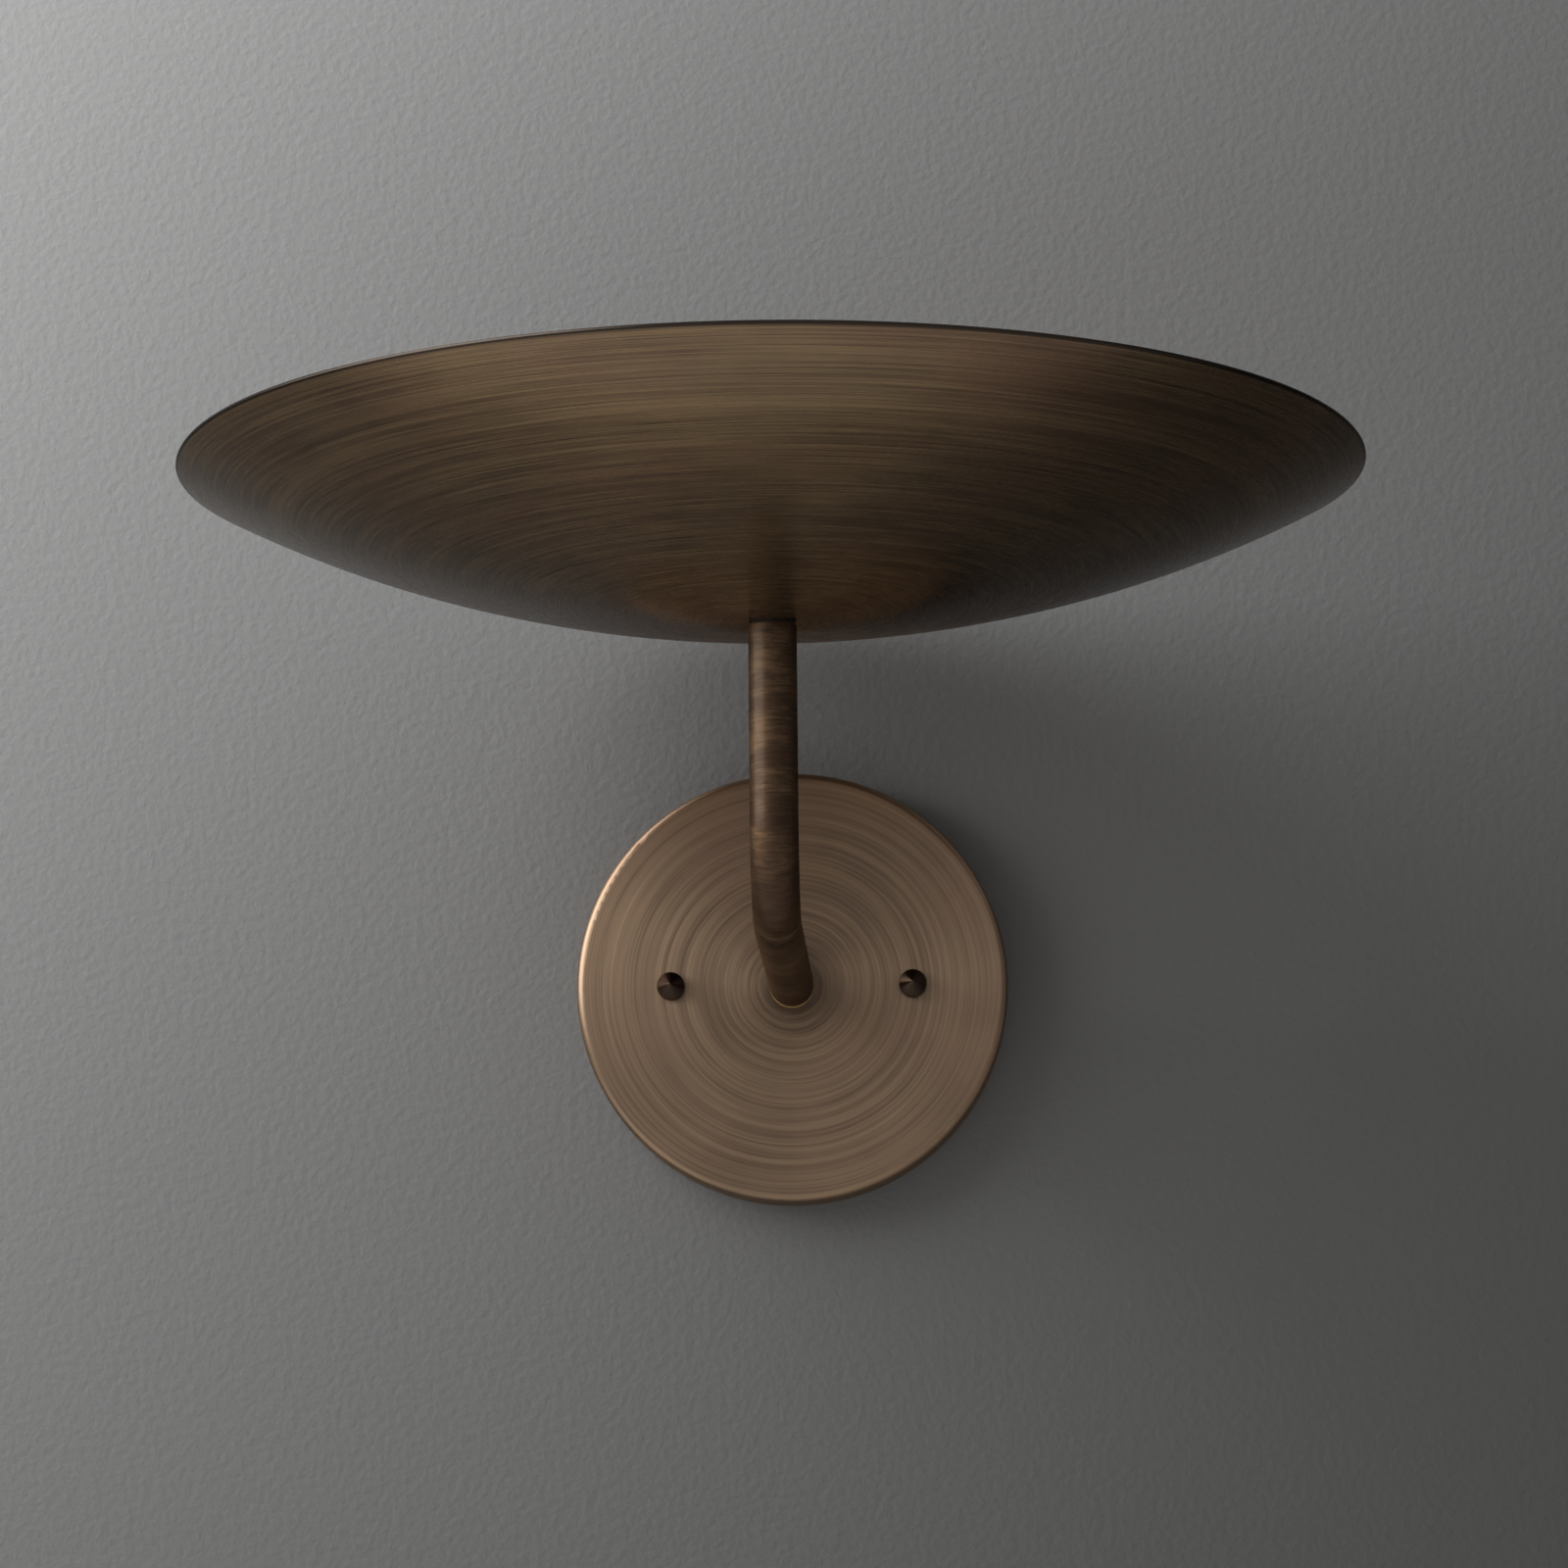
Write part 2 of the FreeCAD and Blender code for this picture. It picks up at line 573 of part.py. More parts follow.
def add_slot(sketch, centre, half_slot, width):
    """A round-ended slot along X: two straight sides and two half circles."""
    radius = width / 2
    left = Vector(centre.number - half_slot.number, 0, 0)
    right = Vector(centre.number + half_slot.number, 0, 0)
    lift = Vector(0, radius.number, 0)
    quarter = math.pi / 2
    top = sketch.addGeometry(Part.LineSegment(left + lift, right + lift))
    bottom = sketch.addGeometry(Part.LineSegment(left - lift, right - lift))
    cap_right = sketch.addGeometry(
        Part.ArcOfCircle(Part.Circle(right, Z_AXIS, radius.number), -quarter, quarter))
    cap_left = sketch.addGeometry(
        Part.ArcOfCircle(Part.Circle(left, Z_AXIS, radius.number), quarter, 3 * quarter))
    sketch.addConstraint(Sketcher.Constraint("Tangent", top, 2, cap_right, 2))
    sketch.addConstraint(Sketcher.Constraint("Tangent", cap_right, 1, bottom, 2))
    sketch.addConstraint(Sketcher.Constraint("Tangent", bottom, 1, cap_left, 2))
    sketch.addConstraint(Sketcher.Constraint("Tangent", cap_left, 1, top, 1))
    sketch.addConstraint(Sketcher.Constraint("PointOnObject", cap_right, 3, -1))
    sketch.addConstraint(Sketcher.Constraint("PointOnObject", cap_left, 3, -1))
    constrain(sketch, "DistanceX", (-1, 1, cap_right, 3), centre + half_slot)
    constrain(sketch, "DistanceX", (-1, 1, cap_left, 3), centre - half_slot)
    constrain(sketch, "Radius", (cap_right,), radius)


def make_canopy_fixings(name, side):
    """One stud in the crossbar, its lock nut, and the conical cap nut on the canopy's face."""
    place_x = stud_x * side
    stud_length = canopy_face + size("stud_reach")
    stud = turned("stud_" + name, [(0, 0), (size("stud_diameter") / 2, 0),
                                   (size("stud_diameter") / 2, stud_length), (0, stud_length)])
    out_from_wall(stud, x=place_x)
    thread = size("stud_diameter") + size("thread_clearance") * 2
    lock = hexagon_nut("stud_nut_" + name, size("stud_nut_flats"), thread,
                       size("bar_thickness"), size("stud_nut_height"))
    out_from_wall(lock, x=place_x)
    side_radius_of_nut = size("cap_nut_diameter") / 2
    shoulder = canopy_face + size("cap_nut_wall")
    tip = shoulder + size("cap_nut_cone")
    thread_end = canopy_face + size("cap_nut_thread_depth")
    cap_nut = turned("cap_nut_" + name, [
        (thread / 2, canopy_face), (side_radius_of_nut, canopy_face), (side_radius_of_nut, shoulder),
        (size("cap_nut_tip") / 2, tip), (0, tip), (0, thread_end), (thread / 2, thread_end),
    ])
    out_from_wall(cap_nut, x=place_x)


def make_canopy():
    """Spun round cover, open to the wall, with holes for the nipple and the two studs."""
    outside = size("canopy_diameter") / 2
    inside = outside - size("canopy_sheet")
    body = turned("canopy", [
        (size("hole_diameter") / 2, canopy_face), (outside, canopy_face), (outside, 0),
        (inside, 0), (inside, canopy_inside), (size("hole_diameter") / 2, canopy_inside),
    ])
    rounded(body, outside, canopy_face, size("canopy_corner"))
    rounded(body, inside, canopy_inside, size("canopy_corner") - size("canopy_sheet"))
    holes = new_sketch(body, "canopy_stud_holes", "XY_Plane")
    hole = size("stud_diameter") + size("stud_hole_clearance")
    for side in (1, -1):
        add_circle(holes, stud_x * side, ZERO, hole)
    doc.recompute()
    before = body.Shape.Volume
    pocket = body.newObject("PartDesign::Pocket", "canopy_drilled")
    pocket.Profile = holes
    pocket.Type = "ThroughAll"
    pocket.Reversed = True
    holes.Visibility = False
    doc.recompute()
    if body.Shape.Volume >= before:
        raise ValueError("the canopy's stud holes cut nothing")
    out_from_wall(body)


def make_wall_nipple():
    """Hollow threaded nipple from inside the canopy into the arm, and what locks it."""
    nipple = ring("wall_nipple", size("nipple_diameter"), size("nipple_bore"),
                  wall_nipple_start, wall_nipple_end)
    out_from_wall(nipple)
    washer = ring("canopy_lock_washer", size("lock_washer_diameter"), size("hole_diameter"),
                  washer_back, canopy_inside)
    out_from_wall(washer)
    thread = size("nipple_diameter") + size("thread_clearance") * 2
    nut = hexagon_nut("canopy_lock_nut", size("nut_flats"), thread, nut_back, size("nut_height"))
    out_from_wall(nut)
    sleeve_radius = size("nipple_bore") / 2 - size("thread_clearance")
    sleeve_end = wall_nipple_start + size("bush_length")
    bush = turned("nipple_bush", [
        (size("bush_bore") / 2, bush_back), (size("nipple_diameter") / 2, bush_back),
        (size("nipple_diameter") / 2, wall_nipple_start), (sleeve_radius, wall_nipple_start),
        (sleeve_radius, sleeve_end), (size("bush_bore") / 2, sleeve_end),
    ])
    out_from_wall(bush)


def make_earth():
    """Earth lug under the nipple's nut, and its bare lead to the screw on the crossbar."""
    body = new_body("earth_lug")
    sketch = new_sketch(body, "earth_lug_ring", "XY_Plane")
    add_circle(sketch, ZERO, ZERO, size("lug_diameter"))
    add_circle(sketch, ZERO, ZERO, size("hole_diameter"))
    place_sketch_at(sketch, lug_back)
    pad(body, sketch, "earth_lug_washer", size("lug_sheet"))
    tail = new_sketch(body, "earth_lug_tail", "XY_Plane")
    half_tail = size("lug_tail_width") / 2
    tail_root = (size("lug_diameter") + size("hole_diameter")) / 4
    add_outline(tail, [
        (-tail_root, -half_tail), (-tail_root, half_tail),
        (-size("lug_reach"), half_tail), (-size("lug_reach"), -half_tail),
    ])
    place_sketch_at(tail, lug_back)
    pad(body, tail, "earth_lug_tongue", size("lug_sheet"))
    out_from_wall(body)

    head_foot = size("bar_thickness") + size("earth_lead_diameter")
    head_top = head_foot + size("earth_head_height")
    screw = turned("earth_screw", [
        (0, 0), (size("earth_screw_diameter") / 2, 0), (size("earth_screw_diameter") / 2, head_foot),
        (size("earth_head_diameter") / 2, head_foot), (size("earth_head_diameter") / 2, head_top), (0, head_top),
    ])
    out_from_wall(screw, x=-size("earth_place"))

    wire = size("earth_lead_diameter").number
    on_lug = -(lug_back.number - wire / 2)
    on_bar = -(size("bar_thickness").number + wire / 2)
    beside_screw = (size("earth_screw_diameter").number + wire) / 2 + 2 * size("seat_clearance").number
    turn_x = -(size("earth_place").number + size("earth_lead_loop").number)
    lug_x = -(size("lug_reach").number - size("earth_lead_lap").number)
    end_x = -(size("earth_place").number - size("earth_lead_tail").number)
    bend = size("earth_lead_bend").number
    path = [
        Vector(lug_x, on_lug, 0),
        Vector(turn_x, on_lug, 0),
        Vector(turn_x, on_bar, beside_screw),
        Vector(end_x, on_bar, beside_screw),
    ]
    shaped("earth_lead", swept(path, [bend, bend], wire))


def make_terminal_block():
    """Two-pole terminal block on the crossbar, its bores lying along X."""
    start_x = size("block_place") - size("block_length") / 2
    blank = doc.addObject("Part::Box", "terminal_block_blank")
    blank.setExpression("Length", size("block_length").formula)
    blank.setExpression("Width", size("block_height").formula)
    blank.setExpression("Height", size("block_width").formula)
    block_top = size("bar_thickness") + size("block_height")
    place(blank, x=start_x, y=-block_top, z=-(size("block_width") / 2))

    pole_z = size("pole_spacing") / 2
    drill = []
    inserts = []
    screws = []
    clear = size("seat_clearance") * 2
    screw_hole = size("clamp_screw_diameter") + clear
    screw_foot = bore_height + size("insert_diameter") / 2 - size("clamp_reach")
    screw_length = block_top - screw_foot - size("clamp_recess")
    for number, side in enumerate((1, -1), start=1):
        drill.append(cylinder("pole_bore_%d" % number, size("insert_diameter") + clear, size("block_length"),
                              x=start_x, y=-bore_height, z=pole_z * side, axis=Y_AXIS, angle=QUARTER_TURN))
        outer = cylinder("insert_outside_%d" % number, size("insert_diameter"), size("block_length"),
                         x=start_x, y=-bore_height, z=pole_z * side, axis=Y_AXIS, angle=QUARTER_TURN)
        inner = cylinder("insert_inside_%d" % number, size("insert_bore"), size("block_length"),
                         x=start_x, y=-bore_height, z=pole_z * side, axis=Y_AXIS, angle=QUARTER_TURN)
        sleeve = cut("insert_sleeve_%d" % number, outer, inner)
        for end in (1, -1):
            screw_x = size("block_place") + size("clamp_spacing") / 2 * end
            tag = "%d_%s" % (number, "supply" if end == 1 else "lamp")
            drill.append(cylinder("screw_well_" + tag, screw_hole, size("block_height") - size("pole_height"),
                                  x=screw_x, y=-bore_height, z=pole_z * side, axis=X_AXIS, angle=QUARTER_TURN))
            screws.append(cylinder("clamp_screw_" + tag, size("clamp_screw_diameter"), screw_length,
                                   x=screw_x, y=-screw_foot, z=pole_z * side, axis=X_AXIS, angle=QUARTER_TURN))
            pilot = cylinder("insert_pilot_" + tag, screw_hole, size("insert_diameter"),
                             x=screw_x, y=-bore_height, z=pole_z * side, axis=X_AXIS, angle=QUARTER_TURN)
            sleeve = cut("insert_tapped_" + tag, sleeve, pilot)
        inserts.append(sleeve)
    drill.append(cylinder("block_screw_well", size("block_screw_diameter") + clear, size("block_height"),
                          x=size("block_place"), y=-size("bar_thickness"), axis=X_AXIS, angle=QUARTER_TURN))
    head = size("block_screw_head") / 2
    head_top = block_top + size("block_screw_head_height")
    cut("terminal_block", blank, joined("terminal_drillings", "Part::MultiFuse", drill))
    joined("terminal_inserts", "Part::Compound", inserts)
    joined("terminal_screws", "Part::Compound", screws)
    screw = turned("terminal_fixing_screw", [
        (0, 0), (size("block_screw_diameter") / 2, 0), (size("block_screw_diameter") / 2, block_top),
        (head, block_top), (head, head_top), (0, head_top),
    ])
    out_from_wall(screw, x=size("block_place"))


# ---------------------------------------------------------------- arm
def make_arm():
    """Bent tube from the canopy out and up to the dish, with a ring at its foot and its neck."""
    foot_ring = ring("foot_ring", size("foot_ring_diameter"), size("hole_diameter"), canopy_face, arm_foot)
    out_from_wall(foot_ring)

    body = new_body("arm_tube")
    spine = new_sketch(body, "arm_route", "YZ_Plane")
    bend = size("bend_radius")
    corner_y = -(size("arm_reach") - arm_foot)
    run_end = corner_y + bend
    route_start = Vector(0, 0, 0)
    arc_start = Vector(run_end.number, 0, 0)
    arc_centre = Vector(run_end.number, bend.number, 0)
    arc_end = Vector(corner_y.number, bend.number, 0)
    route_end = Vector(corner_y.number, arm_top.number, 0)
    run = spine.addGeometry(Part.LineSegment(route_start, arc_start))
    turn = spine.addGeometry(
        Part.ArcOfCircle(Part.Circle(arc_centre, Z_AXIS, bend.number), math.pi, 1.5 * math.pi))
    upright = spine.addGeometry(Part.LineSegment(arc_end, route_end))
    spine.addConstraint(Sketcher.Constraint("Coincident", run, 1, -1, 1))
    spine.addConstraint(Sketcher.Constraint("Horizontal", run))
    spine.addConstraint(Sketcher.Constraint("Vertical", upright))
    spine.addConstraint(Sketcher.Constraint("Tangent", run, 2, turn, 2))
    spine.addConstraint(Sketcher.Constraint("Tangent", turn, 1, upright, 1))
    constrain(spine, "Radius", (turn,), bend)
    constrain(spine, "DistanceX", (-1, 1, upright, 2), corner_y)
    constrain(spine, "DistanceY", (-1, 1, upright, 2), arm_top)
    section = new_sketch(body, "arm_section", "XZ_Plane")
    add_circle(section, ZERO, ZERO, size("arm_diameter"))
    add_circle(section, ZERO, ZERO, size("arm_bore"))
    doc.recompute()
    pipe = body.newObject("PartDesign::AdditivePipe", "arm_bent")
    pipe.Profile = section
    pipe.Spine = (spine, ["Edge1", "Edge2", "Edge3"])
    spine.Visibility = False
    section.Visibility = False
    place(body, y=-arm_foot)
    doc.recompute()
    wall = math.pi / 4 * (size("arm_diameter").number ** 2 - size("arm_bore").number ** 2)
    length = -run_end.number + math.pi / 2 * bend.number + arm_top.number - bend.number
    if abs(body.Shape.Volume - wall * length) > 0.01 * wall * length:
        raise ValueError("the arm's volume is not its section times its length")

    neck = ring("neck_washer", size("neck_diameter"), size("hole_diameter"), arm_top, size("dish_pole"))
    on_upright(neck)
    nipple = ring("dish_nipple", size("nipple_diameter"), size("nipple_bore"), dish_nipple_start, dish_nipple_end)
    on_upright(nipple)


# ---------------------------------------------------------------- dish
def make_dish():
    """Spun bowl: a flat seat, a shallow cone, and two tangent curves out to the rim."""
    sheet_thickness = size("dish_sheet").number
    pole = size("dish_pole").number
    seat = size("seat_diameter").number / 2
    hub = size("hub_diameter").number / 2
    hub_angle = math.radians(size("hub_tilt").number)
    middle = size("inner_bowl_diameter").number / 2
    rim = size("dish_diameter").number / 2
    blend = size("hub_blend_radius").number
    inner_radius = size("inner_bowl_radius").number
    outer_radius = size("outer_bowl_radius").number

    def arc(start, start_angle, end_angle, radius):
        """Points at the middle and the end of a curve that starts at one slope and ends at another."""
        points = []
        for angle in ((start_angle + end_angle) / 2, end_angle):
            across = radius * (math.sin(angle) - math.sin(start_angle))
            up = radius * (math.cos(start_angle) - math.cos(angle))
            points.append((start[0] + across, start[1] + up))
        return points

    hole = (size("hole_diameter").number / 2, pole)
    seat_edge = (seat, pole)
    blend_middle, blend_end = arc(seat_edge, 0.0, hub_angle, blend)
    hub_edge = (hub, blend_end[1] + (hub - blend_end[0]) * math.tan(hub_angle))
    middle_angle = math.asin(math.sin(hub_angle) + (middle - hub) / inner_radius)
    inner_middle, inner_end = arc(hub_edge, hub_angle, middle_angle, inner_radius)
    rim_angle = math.asin(math.sin(middle_angle) + (rim - middle) / outer_radius)
    outer_middle, outer_end = arc(inner_end, middle_angle, rim_angle, outer_radius)

    profile = [
        (hole, 0.0), (seat_edge, 0.0), (blend_middle, hub_angle / 2), (blend_end, hub_angle),
        (hub_edge, hub_angle), (inner_middle, (hub_angle + middle_angle) / 2), (inner_end, middle_angle),
        (outer_middle, (middle_angle + rim_angle) / 2), (outer_end, rim_angle),
    ]
    under = [Vector(point[0], 0, point[1]) for point, angle in profile]
    over = [
        Vector(point[0] - sheet_thickness * math.sin(angle), 0, point[1] + sheet_thickness * math.cos(angle))
        for point, angle in profile
    ]

    def surface(points):
        """Edges of one side: line, curve, line, curve, curve."""
        return [
            Part.LineSegment(points[0], points[1]).toShape(),
            Part.Arc(points[1], points[2], points[3]).toShape(),
            Part.LineSegment(points[3], points[4]).toShape(),
            Part.Arc(points[4], points[5], points[6]).toShape(),
            Part.Arc(points[6], points[7], points[8]).toShape(),
        ]

    edges = surface(under) + surface(over)
    edges.append(Part.LineSegment(under[-1], over[-1]).toShape())
    edges.append(Part.LineSegment(over[0], under[0]).toShape())
    on_upright(shaped("dish", revolved(edges)))


def make_cluster():
    """Conical cup in the middle of the dish that carries both lampholders, and what fastens it."""
    spacer = ring("floor_spacer", size("lock_washer_diameter"), size("hole_diameter"), dish_floor, cluster_foot)
    on_upright(spacer)
    washer = ring("cluster_lock_washer", size("lock_washer_diameter"), size("hole_diameter"),
                  cluster_floor, cluster_nut_foot)
    on_upright(washer)
    thread = size("nipple_diameter") + size("thread_clearance") * 2
    nut = hexagon_nut("cluster_nut", size("nut_flats"), thread, cluster_nut_foot, size("nut_height"))
    on_upright(nut)

    inside_foot = cluster_foot_radius - size("cluster_sheet") * side_slope - side_offset
    inside_top = cluster_top_radius - side_offset
    cup = turned("cluster_cup", [
        (size("hole_diameter") / 2, cluster_foot), (cluster_foot_radius, cluster_foot),
        (cluster_top_radius, cluster_top), (inside_top, cluster_top),
        (inside_foot, cluster_floor), (size("hole_diameter") / 2, cluster_floor),
    ])
    on_upright(cup)
    drillings = []
    for name, side in (("right", 1), ("left", -1)):
        drillings.append(cylinder("port_" + name, size("stem_diameter") + size("stem_hole_clearance"), holder_back,
                                  y=-size("arm_reach"), z=lamp_height, axis=Y_AXIS * side, angle=lamp_lean))
    screw_height = cluster_top - size("cap_skirt_height") / 2
    screw_hole = size("cap_screw_diameter") + size("thread_clearance") * 2
    drillings.append(cylinder("cap_screw_holes", screw_hole, size("cluster_diameter"),
                              y=-size("arm_reach") - size("cluster_diameter") / 2, z=screw_height,
                              axis=-X_AXIS, angle=QUARTER_TURN))
    cut("cluster_body", cup, joined("cluster_drillings", "Part::MultiFuse", drillings))

    cap_radius = cluster_top_radius + size("cap_lip")
    skirt_radius = inside_top - size("cap_skirt_gap")
    skirt_inside = skirt_radius - size("cluster_sheet")
    skirt_foot = cluster_top - size("cap_skirt_height")
    cap_top = cluster_top + size("cluster_sheet")
    cap_blank = turned("cap_blank", [
        (skirt_inside, skirt_foot), (skirt_radius, skirt_foot), (skirt_radius, cluster_top),
        (cap_radius, cluster_top), (cap_radius, cap_top), (0, cap_top), (0, cluster_top), (skirt_inside, cluster_top),
    ])
    rounded(cap_blank, cap_radius, cap_top, size("cap_corner"))
    on_upright(cap_blank)
    skirt_holes = cylinder("skirt_holes", screw_hole, size("cluster_diameter"),
                           y=-size("arm_reach") - size("cluster_diameter") / 2, z=screw_height,
                           axis=-X_AXIS, angle=QUARTER_TURN)
    cut("cluster_cap", cap_blank, skirt_holes)

    wall_radius = cluster_top_radius + size("cap_skirt_height") / 2 * side_slope
    head_back = wall_radius + size("cap_screw_head") / 2 * side_slope
    screw_tip = skirt_inside - size("cap_screw_tail")
    for name, axis in (("front", X_AXIS), ("back", -X_AXIS)):
        screw = turned("cap_screw_" + name, [
            (0, screw_tip), (size("cap_screw_diameter") / 2, screw_tip),
            (size("cap_screw_diameter") / 2, head_back), (size("cap_screw_head") / 2, head_back),
            (size("cap_screw_head") / 2, head_back + size("cap_screw_head_height")),
            (0, head_back + size("cap_screw_head_height")),
        ])
        place(screw, y=-size("arm_reach"), z=screw_height, axis=axis, angle=QUARTER_TURN)


def make_lampholder(name, side):
    """Lampholder on the cluster body's side, with its saddle, nut, screw shell and contact."""
    stem = size("stem_diameter") / 2
    chamber = size("stem_bore") / 2
    bore = size("holder_bore") / 2
    outside = size("holder_diameter") / 2
    lip = size("holder_lip_diameter") / 2
    shoulder = holder_back + size("holder_shoulder")
    lip_foot = holder_mouth - size("holder_lip_height")
    rivet_hole = size("contact_rivet") / 2 + size("thread_clearance")
    holder = turned("lampholder_" + name, [
        (chamber, stem_start), (stem, stem_start), (stem, holder_back), (size("saddle_diameter") / 2, holder_back),
        (outside, shoulder), (outside, lip_foot), (lip, lip_foot), (lip, holder_mouth),
        (bore, holder_mouth), (bore, holder_seat), (rivet_hole, holder_seat), (rivet_hole, chamber_end),
        (chamber, chamber_end),
    ])
    along_lamp(holder, side)

    blank = cylinder("saddle_blank_" + name, size("saddle_diameter"), holder_back,
                     y=-size("arm_reach"), z=lamp_height, axis=Y_AXIS * side, angle=lamp_lean)
    seat = doc.addObject("Part::Cone", "saddle_seat_" + name)
    seat.setExpression("Radius1", (cluster_foot_radius + size("seat_clearance")).formula)
    seat.setExpression("Radius2", (cluster_top_radius + size("seat_clearance")).formula)
    seat.setExpression("Height", size("cluster_height").formula)
    place(seat, y=-size("arm_reach"), z=cluster_foot)
    stem_hole = cylinder("saddle_hole_" + name, size("stem_diameter") + size("stem_hole_clearance"), holder_back,
                         y=-size("arm_reach"), z=lamp_height, axis=Y_AXIS * side, angle=lamp_lean)
    cut("saddle_" + name, blank, joined("saddle_cutters_" + name, "Part::MultiFuse", [seat, stem_hole]))

    thread = size("stem_diameter") + size("thread_clearance") * 2
    nut = hexagon_nut("stem_nut_" + name, size("stem_nut_flats"), thread, stem_nut_start, size("stem_nut_height"))
    along_lamp(nut, side)

    shell_inside = shell_radius - size("shell_sheet")
    shell_floor = holder_seat + size("shell_sheet")
    floor_hole = size("contact_diameter") / 2 + size("contact_gap")
    shell = turned("screw_shell_" + name, [
        (floor_hole, holder_seat), (shell_radius, holder_seat), (shell_radius, shell_mouth),
        (shell_inside, shell_mouth), (shell_inside, shell_floor), (floor_hole, shell_floor),
    ])
    along_lamp(shell, side)

    rivet = size("contact_rivet") / 2
    rivet_end = chamber_end - size("contact_rivet_tail")
    contact = turned("centre_contact_" + name, [
        (0, rivet_end), (rivet, rivet_end), (rivet, holder_seat), (size("contact_diameter") / 2, holder_seat),
        (size("contact_diameter") / 2, contact_top - size("contact_bevel")), (rivet, contact_top), (0, contact_top),
    ])
    along_lamp(contact, side)


def glass_side(neck, inset):
    """One side of the tubular glass, from its floor up to its domed end, drawn in by inset."""
    radius = size("lamp_glass_diameter").number / 2 - inset
    neck_radius = neck - inset
    floor = glass_start.number + inset
    shoulder = collar_top.number + inset / 2
    body_start = glass_start.number + size("lamp_glass_shoulder").number + inset / 2
    top = glass_end.number - inset
    dome_start = top - radius
    slant = radius * math.sqrt(0.5)
    corners = [
        Vector(0, 0, floor), Vector(neck_radius, 0, floor), Vector(neck_radius, 0, shoulder),
        Vector(radius, 0, body_start), Vector(radius, 0, dome_start),
    ]
    edges = [Part.LineSegment(start, end).toShape() for start, end in zip(corners, corners[1:])]
    edges.append(Part.Arc(corners[-1], Vector(slant, 0, dome_start + slant), Vector(0, 0, top)).toShape())
    return edges


def make_lamp(name, side):
    """Small tubular lamp: screw base, insulator, tip, glass, glass stem and filament."""
    base_radius = size("lamp_base_diameter") / 2
    base_inside = base_radius - size("lamp_base_sheet")
    collar = size("lamp_collar_diameter") / 2
    collar_inside = collar - size("lamp_base_sheet")
    edge_foot = collar_top - size("lamp_collar_edge")
    base = turned("lamp_base_" + name, [
        (base_inside, lamp_base_start), (base_radius, lamp_base_start), (base_radius, lamp_base_end),
        (collar, edge_foot), (collar, collar_top), (collar_inside, collar_top),
        (collar_inside, edge_foot + size("lamp_collar_offset")),
        (base_inside, lamp_base_end + size("lamp_collar_offset")),
    ])
    along_lamp(base, side)

    contact_radius = size("lamp_contact_diameter") / 2
    contact_foot = lamp_tip + size("lamp_contact_height")
    insulator_radius = base_inside - size("seat_clearance")
    insulator_end = lamp_base_start + size("insulator_depth")
    insulator = turned("lamp_insulator_" + name, [
        (0, contact_foot), (contact_radius + size("insulator_edge"), contact_foot),
        (insulator_radius, lamp_base_start), (insulator_radius, insulator_end), (0, insulator_end),
    ])
    along_lamp(insulator, side)
    tip = turned("lamp_tip_" + name, [
        (0, lamp_tip), (contact_radius - size("lamp_contact_taper"), lamp_tip),
        (contact_radius, contact_foot), (0, contact_foot),
    ])
    along_lamp(tip, side)

    wall = size("lamp_glass_sheet")
    glass_floor = glass_start + wall
    neck = collar_inside - size("seat_clearance") * 2
    outside = glass_side(neck.number, 0.0)
    inside = glass_side(neck.number, wall.number)
    edges = outside + inside
    edges.append(Part.LineSegment(Vector(0, 0, glass_start.number), Vector(0, 0, glass_floor.number)).toShape())
    edges.append(
        Part.LineSegment(Vector(0, 0, glass_end.number - wall.number), Vector(0, 0, glass_end.number)).toShape())
    glass = shaped("lamp_glass_" + name, revolved(edges))
    along_lamp(glass, side)

    stem_end = glass_floor + size("glass_stem_length")
    stem_radius = size("glass_stem_diameter") / 2
    stem = turned("lamp_stem_" + name, [
        (0, glass_floor), (stem_radius + size("glass_stem_flare"), glass_floor),
        (stem_radius, glass_floor + size("glass_stem_flare_height")),
        (stem_radius, stem_end), (0, stem_end),
    ])
    along_lamp(stem, side)

    wire = size("filament_wire").number
    half_span = size("filament_span").number / 2
    root = stem_radius.number - wire
    low = stem_end.number + 2 * size("seat_clearance").number
    spread = low + size("filament_spread").number
    high = low + size("filament_length").number
    loop = [
        Vector(0, -root, low), Vector(0, -half_span, spread), Vector(0, -half_span, high),
        Vector(0, half_span, high), Vector(0, half_span, spread), Vector(0, root, low),
    ]
    support_bend = size("support_bend").number
    bend = size("filament_bend").number
    filament = shaped("lamp_filament_" + name, swept(loop, [support_bend, bend, bend, support_bend], wire))
    along_lamp(filament, side)


